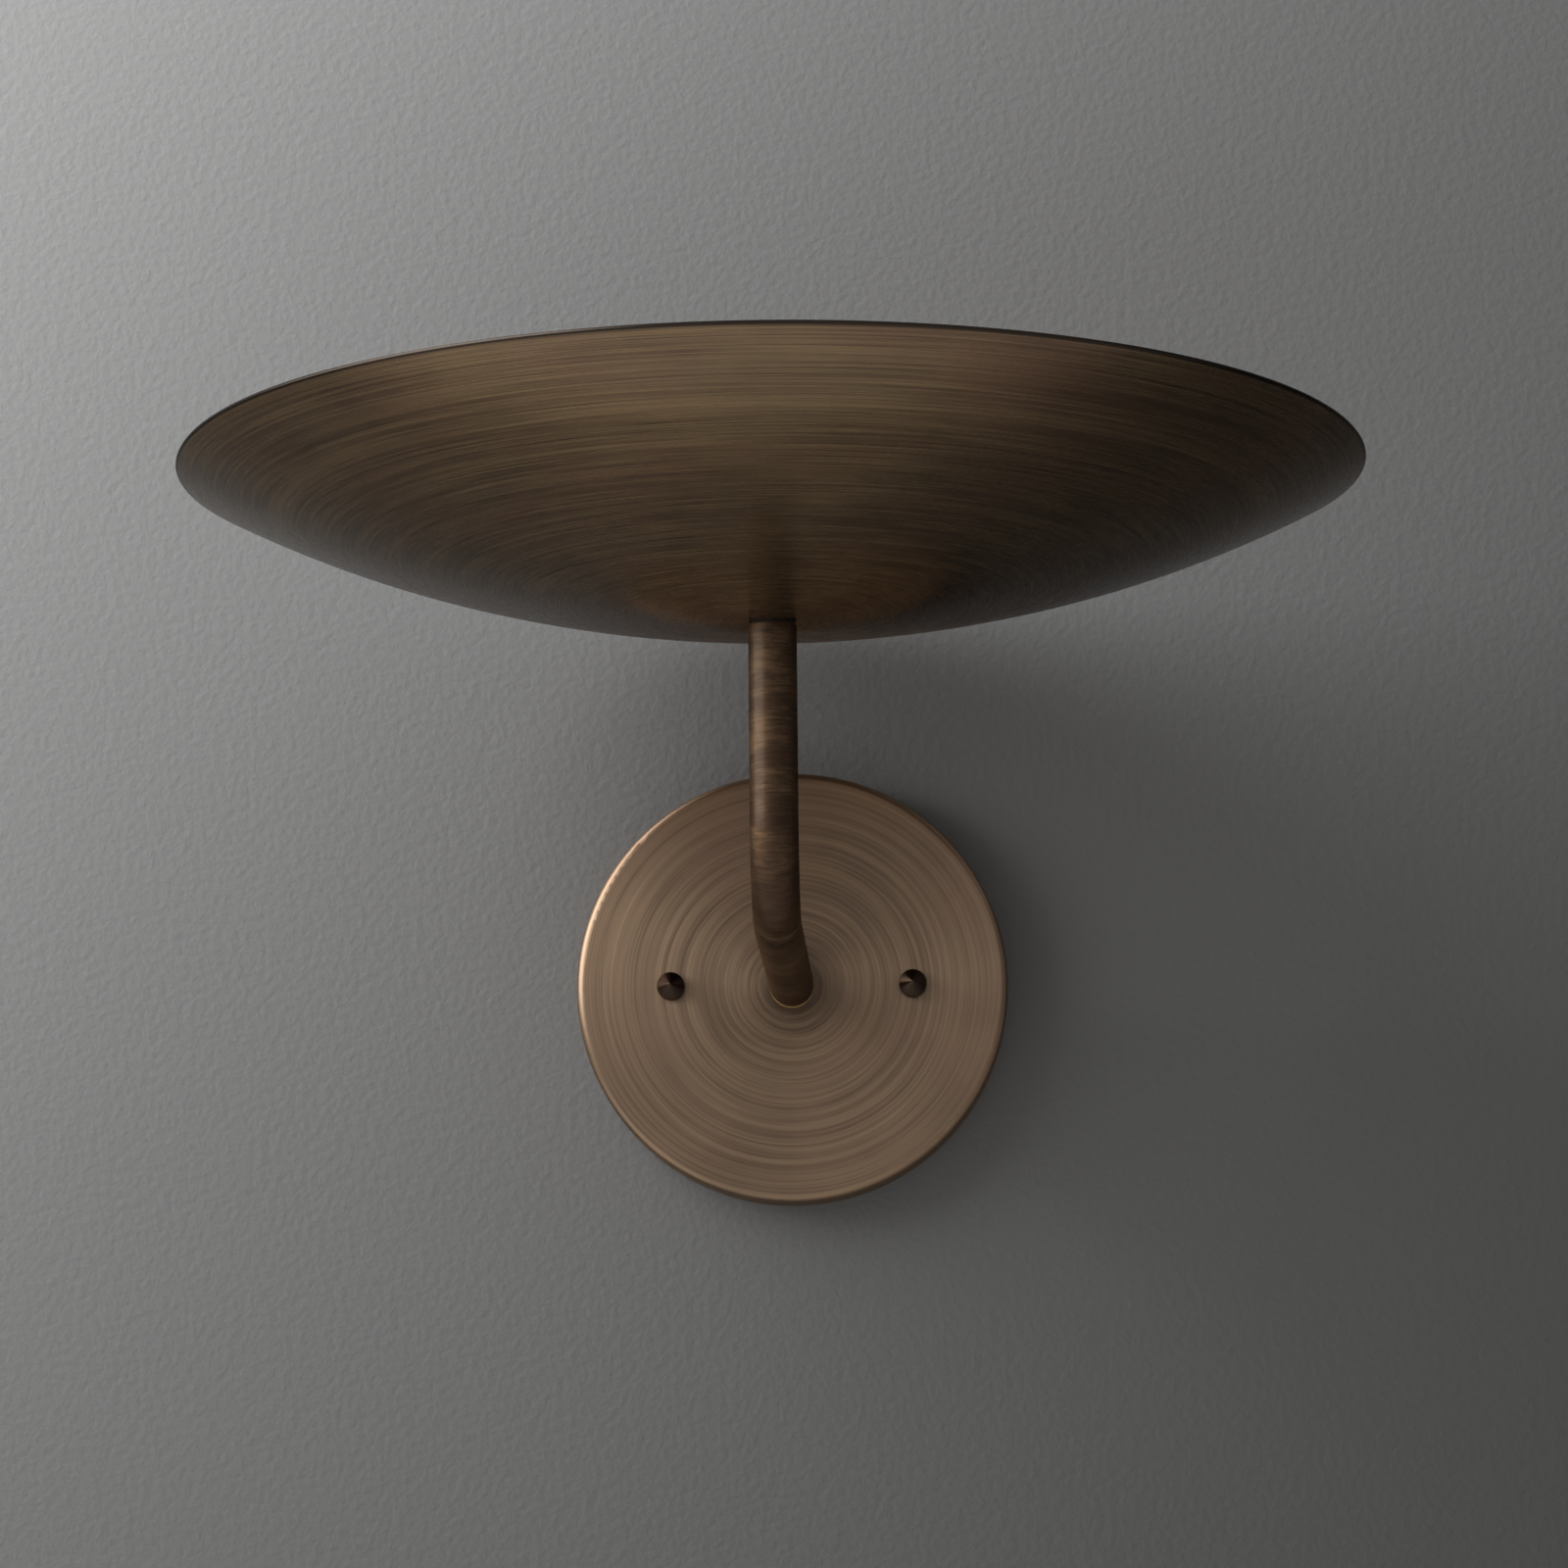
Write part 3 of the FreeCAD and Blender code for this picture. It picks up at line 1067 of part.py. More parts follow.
# ---------------------------------------------------------------- leads
def make_leads():
    """Four leads from the terminal block through the arm, one pair to each lampholder."""
    offset = size("lead_offset").number
    diameter = size("lead_diameter").number
    tilt = math.radians(size("lamp_tilt").number)
    reach = size("arm_reach").number
    bend = size("bend_radius").number
    block_start = size("block_place").number - size("block_length").number / 2
    pole_z = size("pole_spacing").number / 2
    bore_y = -bore_height.number
    layer = size("lead_layer").number
    lead_end = chamber_end.number - size("lead_end_gap").number
    turn_height = lamp_height.number + offset * math.tan(tilt)
    for name, side in (("right", 1), ("left", -1)):
        run_y = bore_y - layer * side
        for pole, lift in (("live", 1), ("neutral", -1)):
            x = offset * side
            z = offset * lift
            upright_y = -reach + z
            path = [
                Vector(block_start + size("lead_reach").number, run_y, pole_z * lift),
                Vector(block_start - size("lead_start").number, run_y, pole_z * lift),
                Vector(x, run_y, z),
                Vector(x, upright_y, z),
                Vector(x, upright_y, turn_height),
                Vector(lead_end * math.cos(tilt) * side, upright_y, lamp_height.number + lead_end * math.sin(tilt)),
            ]
            radii = [size("lead_block_bend").number, size("lead_bush_bend").number, bend - z,
                     size("lead_holder_bend").number]
            shaped("lead_%s_%s" % (pole, name), swept(path, radii, diameter))


make_crossbar()
make_canopy_fixings("left", -1)
make_canopy_fixings("right", 1)
make_canopy()
make_wall_nipple()
make_earth()
make_terminal_block()
make_arm()
make_dish()
make_cluster()
for side_name, side_sign in (("left", -1), ("right", 1)):
    make_lampholder(side_name, side_sign)
    make_lamp(side_name, side_sign)
make_leads()
doc.recompute()

for item in doc.Objects:
    if "Invalid" in item.State or "Error" in item.State:
        raise ValueError("%s did not build: %s" % (item.Label, item.State))

used = set()
for item in doc.Objects:
    for user in item.InList:
        if user.TypeId in ("Part::Cut", "Part::MultiFuse", "Part::Compound"):
            used.add(item.Name)

PIECE_TYPES = ("PartDesign::Body", "Part::Cut", "Part::Compound", "Part::Feature")
pieces = [item for item in doc.Objects if item.TypeId in PIECE_TYPES and item.Name not in used]

os.makedirs("parts", exist_ok=True)
for piece in pieces:
    shape = piece.Shape
    if shape.isNull() or not shape.isValid() or not shape.Solids:
        raise ValueError("%s has no valid solid" % piece.Label)
for piece in pieces:
    piece.Shape.exportStep("parts/%s.step" % piece.Label)
print("%d sub-parts" % len(pieces))
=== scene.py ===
"""Uplighter wall sconce: its looks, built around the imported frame."""

import json
import math

import bmesh
import bpy
from mathutils import Matrix, Vector

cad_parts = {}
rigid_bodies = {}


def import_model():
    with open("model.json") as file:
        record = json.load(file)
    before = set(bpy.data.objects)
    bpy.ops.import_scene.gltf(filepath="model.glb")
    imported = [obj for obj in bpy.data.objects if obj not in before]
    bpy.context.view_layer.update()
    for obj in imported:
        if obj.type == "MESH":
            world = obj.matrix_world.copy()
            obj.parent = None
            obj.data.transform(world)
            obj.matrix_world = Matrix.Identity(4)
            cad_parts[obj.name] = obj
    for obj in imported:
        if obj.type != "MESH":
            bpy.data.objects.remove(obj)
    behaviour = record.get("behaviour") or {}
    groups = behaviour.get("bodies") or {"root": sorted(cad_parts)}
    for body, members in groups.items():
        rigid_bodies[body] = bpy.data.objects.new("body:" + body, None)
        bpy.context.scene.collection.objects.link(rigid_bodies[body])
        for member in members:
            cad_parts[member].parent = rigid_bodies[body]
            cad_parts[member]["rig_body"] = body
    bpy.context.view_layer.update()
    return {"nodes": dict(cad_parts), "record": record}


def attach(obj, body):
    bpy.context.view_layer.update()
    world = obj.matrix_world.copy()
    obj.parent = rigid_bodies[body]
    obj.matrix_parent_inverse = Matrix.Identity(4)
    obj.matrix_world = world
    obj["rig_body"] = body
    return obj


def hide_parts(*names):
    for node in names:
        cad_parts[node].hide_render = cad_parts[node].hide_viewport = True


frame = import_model()
NODES = frame["nodes"]
SLOTS = {row["node"]: row["material_slot"] for row in frame["record"]["subparts"]}

# Sizes are in millimetres, as on the drawing, and are turned to metres where a mesh is made.
MM = 0.001
ARM_REACH = 165.0
ARM_DIAMETER = 12.7
ARM_BORE = 10.1
ARM_FOOT = 16.6
ARM_TOP = 76.2
BEND_RADIUS = 25.0
CANOPY_FACE = 16.0
STUD_PLACE = 35.0
DISH_POLE = 76.7
DISH_RIM_RADIUS = 155.0
DISH_SHEET = 1.0
SEAT_RADIUS = 8.0
HUB_RADIUS = 33.0
HUB_TILT = math.radians(6.8)
HUB_BLEND = 100.0
INNER_BOWL_EDGE = 90.0
INNER_BOWL_CURVE = 390.0
OUTER_BOWL_CURVE = 325.5
NIPPLE_HOLE = 10.3
LAMP_TILT = 10.0
LAMP_HEIGHT = 92.0
CAP_SCREW_HEIGHT = 104.0
EARTH_PLACE = -20.0
BLOCK_PLACE = 21.0
# M10 nipples and what runs on them: the radii of bores and threads, and nuts across their flats.
NIPPLE_BORE = 3.75
NIPPLE_RADIUS = 5.0
NIPPLE_THREAD = {"pitch": 1.0, "depth": 0.5}
NUT_BORE = 5.05
NUT_FLATS = 14.0
RING_BORE = 5.15
# M4 studs and screws in the same way.
STUD_RADIUS = 2.0
STUD_NUT_BORE = 2.05
STUD_NUT_FLATS = 7.0
M4_THREAD = {"pitch": 0.7, "depth": 0.35}
LAMP_PITCH = 2.54

UPRIGHT = (0.0, -ARM_REACH, 0.0)
OUT_FROM_WALL = (0, -1, 0)
TURN = 2 * math.pi


# ---- colours and nodes
def srgb(code):
    """An sRGB hex colour as linear red, green, blue and alpha."""
    parts = [int(code[i:i + 2], 16) / 255 for i in (1, 3, 5)]
    return tuple(c / 12.92 if c <= 0.04045 else ((c + 0.055) / 1.055) ** 2.4 for c in parts) + (1.0,)


def add(tree, kind, inputs=None, **settings):
    """Adds one node: settings are its properties, inputs are its sockets' values or what is linked to them.

    A node given as an input stands for its first output in use.
    """
    node = tree.nodes.new(kind)
    for name, value in settings.items():
        setattr(node, name, value)
    for socket, source in (inputs or {}).items():
        if isinstance(source, bpy.types.Node):
            source = next(output for output in source.outputs if output.enabled)
        if isinstance(source, bpy.types.NodeSocket):
            tree.links.new(source, node.inputs[socket])
        else:
            node.inputs[socket].default_value = source
    return node


def placed(name, data):
    """A new object at the origin, in the scene."""
    thing = bpy.data.objects.new(name, data)
    bpy.context.scene.collection.objects.link(thing)
    return thing


def new_material(name):
    """An empty material and its tree."""
    material = bpy.data.materials.new(name)
    material.use_nodes = True
    material.node_tree.nodes.clear()
    return material, material.node_tree


def axis_turn(axis):
    """Turns the frame so that this direction becomes Z."""
    return Vector(axis).rotation_difference(Vector((0, 0, 1)))


def about_axis(tree, origin, axis):
    """Object coordinates in mm from a piece's own axis: the point, the way out from the axis, radius and height.

    origin is a place on the axis, in mm.
    """
    turn = axis_turn(axis)
    coords = add(tree, "ShaderNodeTexCoord")
    local = add(tree, "ShaderNodeMapping", {
        "Vector": coords.outputs["Object"], "Location": -(turn @ Vector(origin)),
        "Rotation": turn.to_euler("XYZ"), "Scale": (1 / MM,) * 3,
    })
    flat = add(tree, "ShaderNodeVectorMath", {0: local, 1: (1, 1, 0)}, operation="MULTIPLY")
    out = add(tree, "ShaderNodeVectorMath", {0: flat}, operation="NORMALIZE")
    radius = add(tree, "ShaderNodeVectorMath", {0: flat}, operation="LENGTH")
    height = add(tree, "ShaderNodeSeparateXYZ", {0: local})
    return local, out, radius, height.outputs["Z"]


def brushed_rings(tree, out, radius, height, spacing, arcs, detail):
    """Noise drawn out into arcs round an axis: spacing is in mm, arcs is how often a line breaks off."""
    along = add(tree, "ShaderNodeMath", {0: radius, 1: height})
    step = add(tree, "ShaderNodeMath", {0: along, 1: 1 / spacing}, operation="MULTIPLY")
    lift = add(tree, "ShaderNodeCombineXYZ", {2: step})
    place = add(tree, "ShaderNodeVectorMath", {0: out, 1: (arcs,) * 3, 2: lift}, operation="MULTIPLY_ADD")
    return add(tree, "ShaderNodeTexNoise", {"Vector": place, "Scale": 1.0, "Detail": detail, "Roughness": 0.65})


def brushed_bronze(name, origin, axis, dark, light, tint, edge, spacing, bands, rough, contrast, arcs=1.2,
                   mottle=28.0, smear=0.9, rubbed_ring=None, painted_shade=None):
    """Spun brass, darkened with an acid patina, brushed on the lathe and lacquered.

    Fine arcs run round the piece's axis, broader bands lie over them, and the patina is cloudy. It is dull
    enough that edge, its colour seen at a low angle, stays brown. The thin lacquer adds a faint, colourless
    gloss. spacing, bands and mottle are the sizes of arcs, bands and clouds in mm, and contrast says how strong
    each is. rubbed_ring is a lighter ring: its radius, half its width and its strength. painted_shade is painted
    shade, a darkening towards near black: the radius where it is strongest, the radius where it ends, and its
    strength.
    """
    material, tree = new_material(name)
    point, out, radius, height = about_axis(tree, origin, axis)
    lines = brushed_rings(tree, out, radius, height, spacing, arcs, detail=3.0)
    wide = brushed_rings(tree, out, radius, height, bands, 0.35, detail=2.0)
    cloud = add(tree, "ShaderNodeTexNoise", {"Vector": point, "Scale": 1 / mottle, "Detail": 4.0})
    share = 0.5 - sum(contrast) / 2
    for pattern, weight in zip((lines, wide, cloud), contrast):
        share = add(tree, "ShaderNodeMath", {0: pattern, 1: weight, 2: share}, operation="MULTIPLY_ADD")
    if rubbed_ring:
        middle, width, gain = rubbed_ring
        off = add(tree, "ShaderNodeMath", {0: radius, 1: middle}, operation="SUBTRACT")
        far = add(tree, "ShaderNodeMath", {0: off}, operation="ABSOLUTE")
        ring = add(tree, "ShaderNodeMapRange", {0: far, 1: 0.0, 2: width, 3: gain, 4: 0.0})
        share = add(tree, "ShaderNodeMath", {0: share, 1: ring})
    kept = add(tree, "ShaderNodeClamp", {0: share})
    metal = add(tree, "ShaderNodeMix", {0: kept, 6: srgb(dark), 7: srgb(light)}, data_type="RGBA")
    # Reddish stains, a little larger than the clouds.
    aside = add(tree, "ShaderNodeMapping", {"Vector": point, "Location": (70, 40, 90)})
    stain = add(tree, "ShaderNodeTexNoise", {"Vector": aside, "Scale": 0.8 / mottle, "Detail": 3.0})
    stained = add(tree, "ShaderNodeMapRange", {0: stain, 1: 0.45, 2: 0.8, 3: 0.0, 4: 0.6})
    colour = add(tree, "ShaderNodeMix", {0: stained, 6: metal, 7: srgb(tint)}, data_type="RGBA")
    # Painted shade: between two radii the colour is darkened towards near black.
    if painted_shade:
        darkest, clear, strength = painted_shade
        painted_darkening = add(tree, "ShaderNodeMapRange", {0: radius, 1: darkest, 2: clear, 3: strength, 4: 0.0})
        colour = add(tree, "ShaderNodeMix", {0: painted_darkening, 6: colour, 7: srgb("#1d1712")}, data_type="RGBA")
    # The grooves run round the axis, so a reflection is smeared outwards, away from it.
    back = axis_turn(axis).inverted().to_euler("XYZ")
    away = add(tree, "ShaderNodeVectorRotate", {"Vector": out, "Rotation": back}, rotation_type="EULER_XYZ")
    shader = add(tree, "ShaderNodeBsdfPrincipled", {
        "Base Color": colour, "Metallic": 1.0, "Anisotropic": smear, "Tangent": away, "Specular Tint": srgb(edge),
        "Roughness": add(tree, "ShaderNodeMapRange", {0: lines, 1: 0.3, 2: 0.7, 3: rough - 0.02, 4: rough + 0.02}),
        "Normal": add(tree, "ShaderNodeBump", {"Height": lines, "Strength": 0.4, "Distance": 0.02 * MM}),
        "Coat Weight": 0.3, "Coat Roughness": 0.2,
    })
    add(tree, "ShaderNodeOutputMaterial", {"Surface": shader})
    return material


def tube_bronze(name, dark, light, tint, edge):
    """Drawn brass tube, bent, darkened and rubbed round by hand with abrasive, then lacquered.

    Short scratches run round the tube, and the patina is patchy where the hand slowed down.
    """
    material, tree = new_material(name)
    coords = add(tree, "ShaderNodeTexCoord")
    local = add(tree, "ShaderNodeMapping", {"Vector": coords.outputs["Object"], "Scale": (1 / MM,) * 3,
                                            "Location": (0, ARM_REACH - BEND_RADIUS, -BEND_RADIUS)})
    across, forward, up = add(tree, "ShaderNodeSeparateXYZ", {0: local}).outputs
    # The tube is unrolled: how far along its length a point is, and how far outside of the bend.
    ahead, behind, below, above = (add(tree, "ShaderNodeMath", {0: way, 1: 0.0}, operation=side)
                                   for way in (forward, up) for side in ("MINIMUM", "MAXIMUM"))
    reach, drop = (add(tree, "ShaderNodeMath", {0: way, 1: -1.0}, operation="MULTIPLY") for way in (ahead, below))
    angle = add(tree, "ShaderNodeMath", {0: reach, 1: drop}, operation="ARCTAN2")
    arc = add(tree, "ShaderNodeMath", {0: angle, 1: BEND_RADIUS, 2: above}, operation="MULTIPLY_ADD")
    along = add(tree, "ShaderNodeMath", {0: arc, 1: behind}, operation="SUBTRACT")
    plane = add(tree, "ShaderNodeCombineXYZ", {0: ahead, 1: below})
    outward = add(tree, "ShaderNodeVectorMath", {0: plane}, operation="LENGTH")
    unrolled = add(tree, "ShaderNodeCombineXYZ", {0: across, 1: outward, 2: along})
    # The real scratches are 0.2 mm apart; these are drawn three times as coarse, 7 mm long, a little off square.
    # The patches are 12 mm across and 5 mm along.
    scratch_place = add(tree, "ShaderNodeMapping", {"Vector": unrolled, "Scale": (0.14, 0.14, 1.6),
                                                    "Rotation": (0.0, 0.06, 0.0)})
    patch_place = add(tree, "ShaderNodeMapping", {"Vector": unrolled, "Scale": (0.08, 0.08, 0.2)})
    scratches, patches = (
        add(tree, "ShaderNodeTexNoise", {"Vector": place, "Scale": 1.0, "Detail": 4.0, "Roughness": harsh})
        for place, harsh in ((scratch_place, 0.8), (patch_place, 0.5)))
    rubbed = add(tree, "ShaderNodeMath", {0: scratches, 1: 3.0, 2: -1.5}, operation="MULTIPLY_ADD")
    share = add(tree, "ShaderNodeMath", {0: patches, 1: 1.8, 2: rubbed}, operation="MULTIPLY_ADD")
    kept = add(tree, "ShaderNodeMapRange", {0: share, 1: 0.4, 2: 1.4})
    metal = add(tree, "ShaderNodeMix", {0: kept, 6: srgb(dark), 7: srgb(light)}, data_type="RGBA")
    stained = add(tree, "ShaderNodeMapRange", {0: patches, 1: 0.42, 2: 0.62, 3: 0.6, 4: 0.0})
    colour = add(tree, "ShaderNodeMix", {0: stained, 6: metal, 7: srgb(tint)}, data_type="RGBA")
    waves = (add(tree, "ShaderNodeMath", {0: angle}, operation=wave) for wave in ("COSINE", "SINE"))
    path = add(tree, "ShaderNodeCombineXYZ", dict(zip((1, 2), waves)))
    shader = add(tree, "ShaderNodeBsdfPrincipled", {
        "Base Color": colour, "Metallic": 1.0, "Anisotropic": 0.2, "Tangent": path, "Specular Tint": srgb(edge),
        "Roughness": add(tree, "ShaderNodeMapRange", {0: scratches, 1: 0.3, 2: 0.7, 3: 0.56, 4: 0.66}),
        "Normal": add(tree, "ShaderNodeBump", {"Height": scratches, "Strength": 0.5, "Distance": 0.03 * MM}),
        "Coat Weight": 0.15, "Coat Roughness": 0.25,
    })
    add(tree, "ShaderNodeOutputMaterial", {"Surface": shader})
    return material


def small_part(name, dark, light, rough, grain, dents=0.01, coat=0.0, metal=True):
    """A small part as it leaves the machine or the mould: one colour, a little cloudy, with fine marks in its skin.

    Its clouds are grain mm across and its marks dents mm deep; what isn't metal has a finer, evener skin.
    """
    finer, cloud_detail, mark_detail = (4, 5.0, 3.0) if metal else (6, 4.0, 2.0)
    thin, thick = (0.3, 0.7) if metal else (0.35, 0.65)
    smoothest, roughest = (rough - 0.07, rough + 0.1) if metal else (rough, rough + 0.08)
    material, tree = new_material(name)
    coords = add(tree, "ShaderNodeTexCoord")
    local = add(tree, "ShaderNodeMapping", {"Vector": coords.outputs["Object"], "Scale": (1 / MM,) * 3})
    cloud = add(tree, "ShaderNodeTexNoise", {"Vector": local, "Scale": 1 / grain, "Detail": cloud_detail})
    marks = add(tree, "ShaderNodeTexNoise", {"Vector": local, "Scale": finer / grain, "Detail": mark_detail})
    share = add(tree, "ShaderNodeMapRange", {0: cloud, 1: thin, 2: thick})
    shader = add(tree, "ShaderNodeBsdfPrincipled", {
        "Base Color": add(tree, "ShaderNodeMix", {0: share, 6: srgb(dark), 7: srgb(light)}, data_type="RGBA"),
        "Roughness": add(tree, "ShaderNodeMapRange", {0: marks, 1: 0.3, 2: 0.7, 3: smoothest, 4: roughest}),
        "Normal": add(tree, "ShaderNodeBump", {"Height": marks, "Strength": 0.3, "Distance": dents * MM}),
        "Metallic": float(metal), "Coat Weight": coat,
    })
    add(tree, "ShaderNodeOutputMaterial", {"Surface": shader})
    return material


def nut_bronze(name, origin):
    """Small nuts and screws: turned about their own axis, darkened most of all and nearly polished."""
    return brushed_bronze("dark_antique_bronze_" + name, origin, OUT_FROM_WALL, "#231a15", "#4a382b", "#433026",
                          "#a09080", spacing=0.35, bands=1.5, rough=0.32, contrast=(1.2, 0.8, 0.8), mottle=5.0,
                          smear=0.3)


def blown_glass(name):
    """Blown glass tube: clear, faintly green in its thickness, with long shallow waves 11 mm apart."""
    material, tree = new_material(name)
    coords = add(tree, "ShaderNodeTexCoord")
    waves = add(tree, "ShaderNodeTexNoise", {"Vector": coords.outputs["Object"], "Scale": 90.0, "Detail": 1.0})
    tinge = add(tree, "ShaderNodeMix", {0: waves, 6: srgb("#f4faf8"), 7: srgb("#ffffff")}, data_type="RGBA")
    shader = add(tree, "ShaderNodeBsdfPrincipled", {
        "Base Color": tinge, "Roughness": 0.0, "IOR": 1.5, "Transmission Weight": 1.0,
        "Normal": add(tree, "ShaderNodeBump", {"Height": waves, "Strength": 0.15, "Distance": 0.1 * MM})})
    add(tree, "ShaderNodeOutputMaterial", {"Surface": shader})
    return material


# The finish of each of the frame's slots.
FINISH = {
    # Dark antique bronze, spun and brushed: long fine arcs, cloudy brown, reddish in places.
    # The arcs of the real brush are 0.1 mm apart, and are drawn coarser so that they show.
    # The rim is painted dark: painted shade that dims the lamp's highlight on its edge.
    "dish_bronze": brushed_bronze(
        "dark_antique_bronze_spun_dish", UPRIGHT, (0, 0, 1), "#574639", "#967e5f", "#876554", "#b4b2b0", spacing=0.8,
        bands=4.0, rough=0.27, contrast=(2.6, 0.3, 0.6), arcs=2.0, smear=0.85, rubbed_ring=(129.0, 3.5, 0.4),
        painted_shade=(154.6, 154.0, 0.9)),
    # The same metal with a thinner patina: tan and rose, with close even rings, and painted shade: darker round the
    # arm's foot.
    "canopy_bronze": brushed_bronze(
        "light_antique_bronze_spun_canopy", (0, 0, 0), OUT_FROM_WALL, "#645143", "#a2896f", "#987a66", "#b5a594",
        spacing=0.7, bands=3.0, rough=0.4, contrast=(1.8, 0.4, 0.4), arcs=0.5, smear=0.5, painted_shade=(6.0, 16.0, 0.45)),
    # The cluster in the bowl, spun like the bowl.
    "cluster_bronze": brushed_bronze(
        "dark_antique_bronze_cluster", UPRIGHT, (0, 0, 1), "#45372a", "#7c6751", "#6e5644", "#97897c", spacing=0.8,
        bands=4.0, rough=0.36, contrast=(1.6, 0.8, 0.8), mottle=12.0),
    "dark_bronze": nut_bronze("cap_screws", (0, -ARM_REACH, CAP_SCREW_HEIGHT)),
    "arm_bronze": tube_bronze("dark_antique_bronze_tube", "#2c2118", "#6a543e", "#4d392c", "#8f7f6e"),
    # Polished brass, left bright: the thin ring that the patina doesn't cover.
    "bright_brass": small_part("polished_brass_ring", "#b08a56", "#d0ad78", 0.2, 1.5),
    # Zinc-plated steel: pale, slightly blue, cloudy where the bath left it.
    "zinc_steel": small_part("zinc_plated_steel", "#9fa3a6", "#c6c8c7", 0.34, 3.0),
    # Green-passivated steel: the earth screw, the one green piece.
    "green_steel": small_part("green_passivated_steel", "#1c5a2c", "#2f7a3f", 0.35, 1.5),
    # Tinned brass: soft grey, dull.
    "tinned_brass": small_part("tinned_brass_lug", "#aeaba3", "#cdcac1", 0.38, 2.0),
    # Bare copper wire: drawn, already browning.
    "bare_copper": small_part("drawn_copper_wire", "#8f5035", "#c47c55", 0.36, 1.2),
    # Pressed brass: contacts and screw shells, plain and yellow.
    "contact_brass": small_part("pressed_contact_brass", "#a98a4c", "#cfb273", 0.3, 2.0),
    # Nickel-plated brass: the lamps' screw bases, rolled.
    "lamp_base_metal": small_part("nickel_plated_lamp_base", "#b0aca0", "#d0ccc0", 0.26, 2.5),
    # Solder: a cast blob, dull grey.
    "solder": small_part("cast_solder", "#8d8e90", "#b4b5b6", 0.45, 0.8, dents=0.05),
    # Tungsten and its nickel supports: drawn wire, dark grey.
    "filament_wire": small_part("drawn_tungsten_wire", "#4f4c4a", "#7b7774", 0.4, 0.5),
    # Natural nylon: moulded, milky, a little yellow.
    "nylon": small_part("moulded_natural_nylon", "#ddd6c4", "#ece7d9", 0.42, 4.0, metal=False),
    # Black nylon: the bush that keeps the leads off the nipple's edge.
    "black_nylon": small_part("moulded_black_nylon", "#161616", "#202020", 0.45, 2.0, metal=False),
    # Moulded rubber: matt and black.
    "black_rubber": small_part("moulded_black_rubber", "#0f0f0f", "#191919", 0.75, 1.0, metal=False),
    # Porcelain: pressed, fired white and glazed; the glaze pools a little and shines.
    "porcelain": small_part("glazed_white_porcelain", "#e6e2d8", "#f0ede5", 0.14, 6.0, dents=0.03, coat=0.5,
                            metal=False),
    # Black glass: pressed hot into the lamp's base.
    "black_glass": small_part("pressed_black_glass", "#0c0b0d", "#18161a", 0.12, 1.5, metal=False),
    # Extruded insulation: black for live, white for neutral, with the faint waviness of a wire's sheath.
    "live_lead": small_part("extruded_black_insulation", "#131313", "#1f1f1f", 0.42, 2.0, dents=0.03, metal=False),
    "neutral_lead": small_part("extruded_white_insulation", "#d8d4c9", "#e6e3da", 0.42, 2.0, dents=0.03, metal=False),
    "lamp_glass": blown_glass("blown_clear_glass"),
}
# The cap nuts are brushed each about its own axis.
STUDS = (("left", -STUD_PLACE), ("right", STUD_PLACE))
OWN_FINISH = {"cap_nut_" + name: nut_bronze("cap_nut_" + name, (x, 0, 0)) for name, x in STUDS}


# ---- trees that grow the pieces
def new_tree(name, lengths, counts):
    """A Geometry Nodes tree with these named inputs, and what its input node gives, by name."""
    tree = bpy.data.node_groups.new(name, "GeometryNodeTree")
    for way in ("INPUT", "OUTPUT"):
        tree.interface.new_socket("Geometry", in_out=way, socket_type="NodeSocketGeometry")
    for labels, kind in ((lengths, "Float"), (counts, "Int")):
        for label in labels:
            tree.interface.new_socket(label, in_out="INPUT", socket_type="NodeSocket" + kind)
    return tree, add(tree, "NodeGroupInput").outputs


def end_tree(tree, geometry):
    """Ends a tree with real meshes."""
    add(tree, "NodeGroupOutput", {0: add(tree, "GeometryNodeRealizeInstances", {0: geometry})})
    return tree


TURNING_LENGTHS = ("Flats", "Thread Pitch", "Thread Depth")
WELD = 2e-6
SHARP_BEND = math.radians(40)


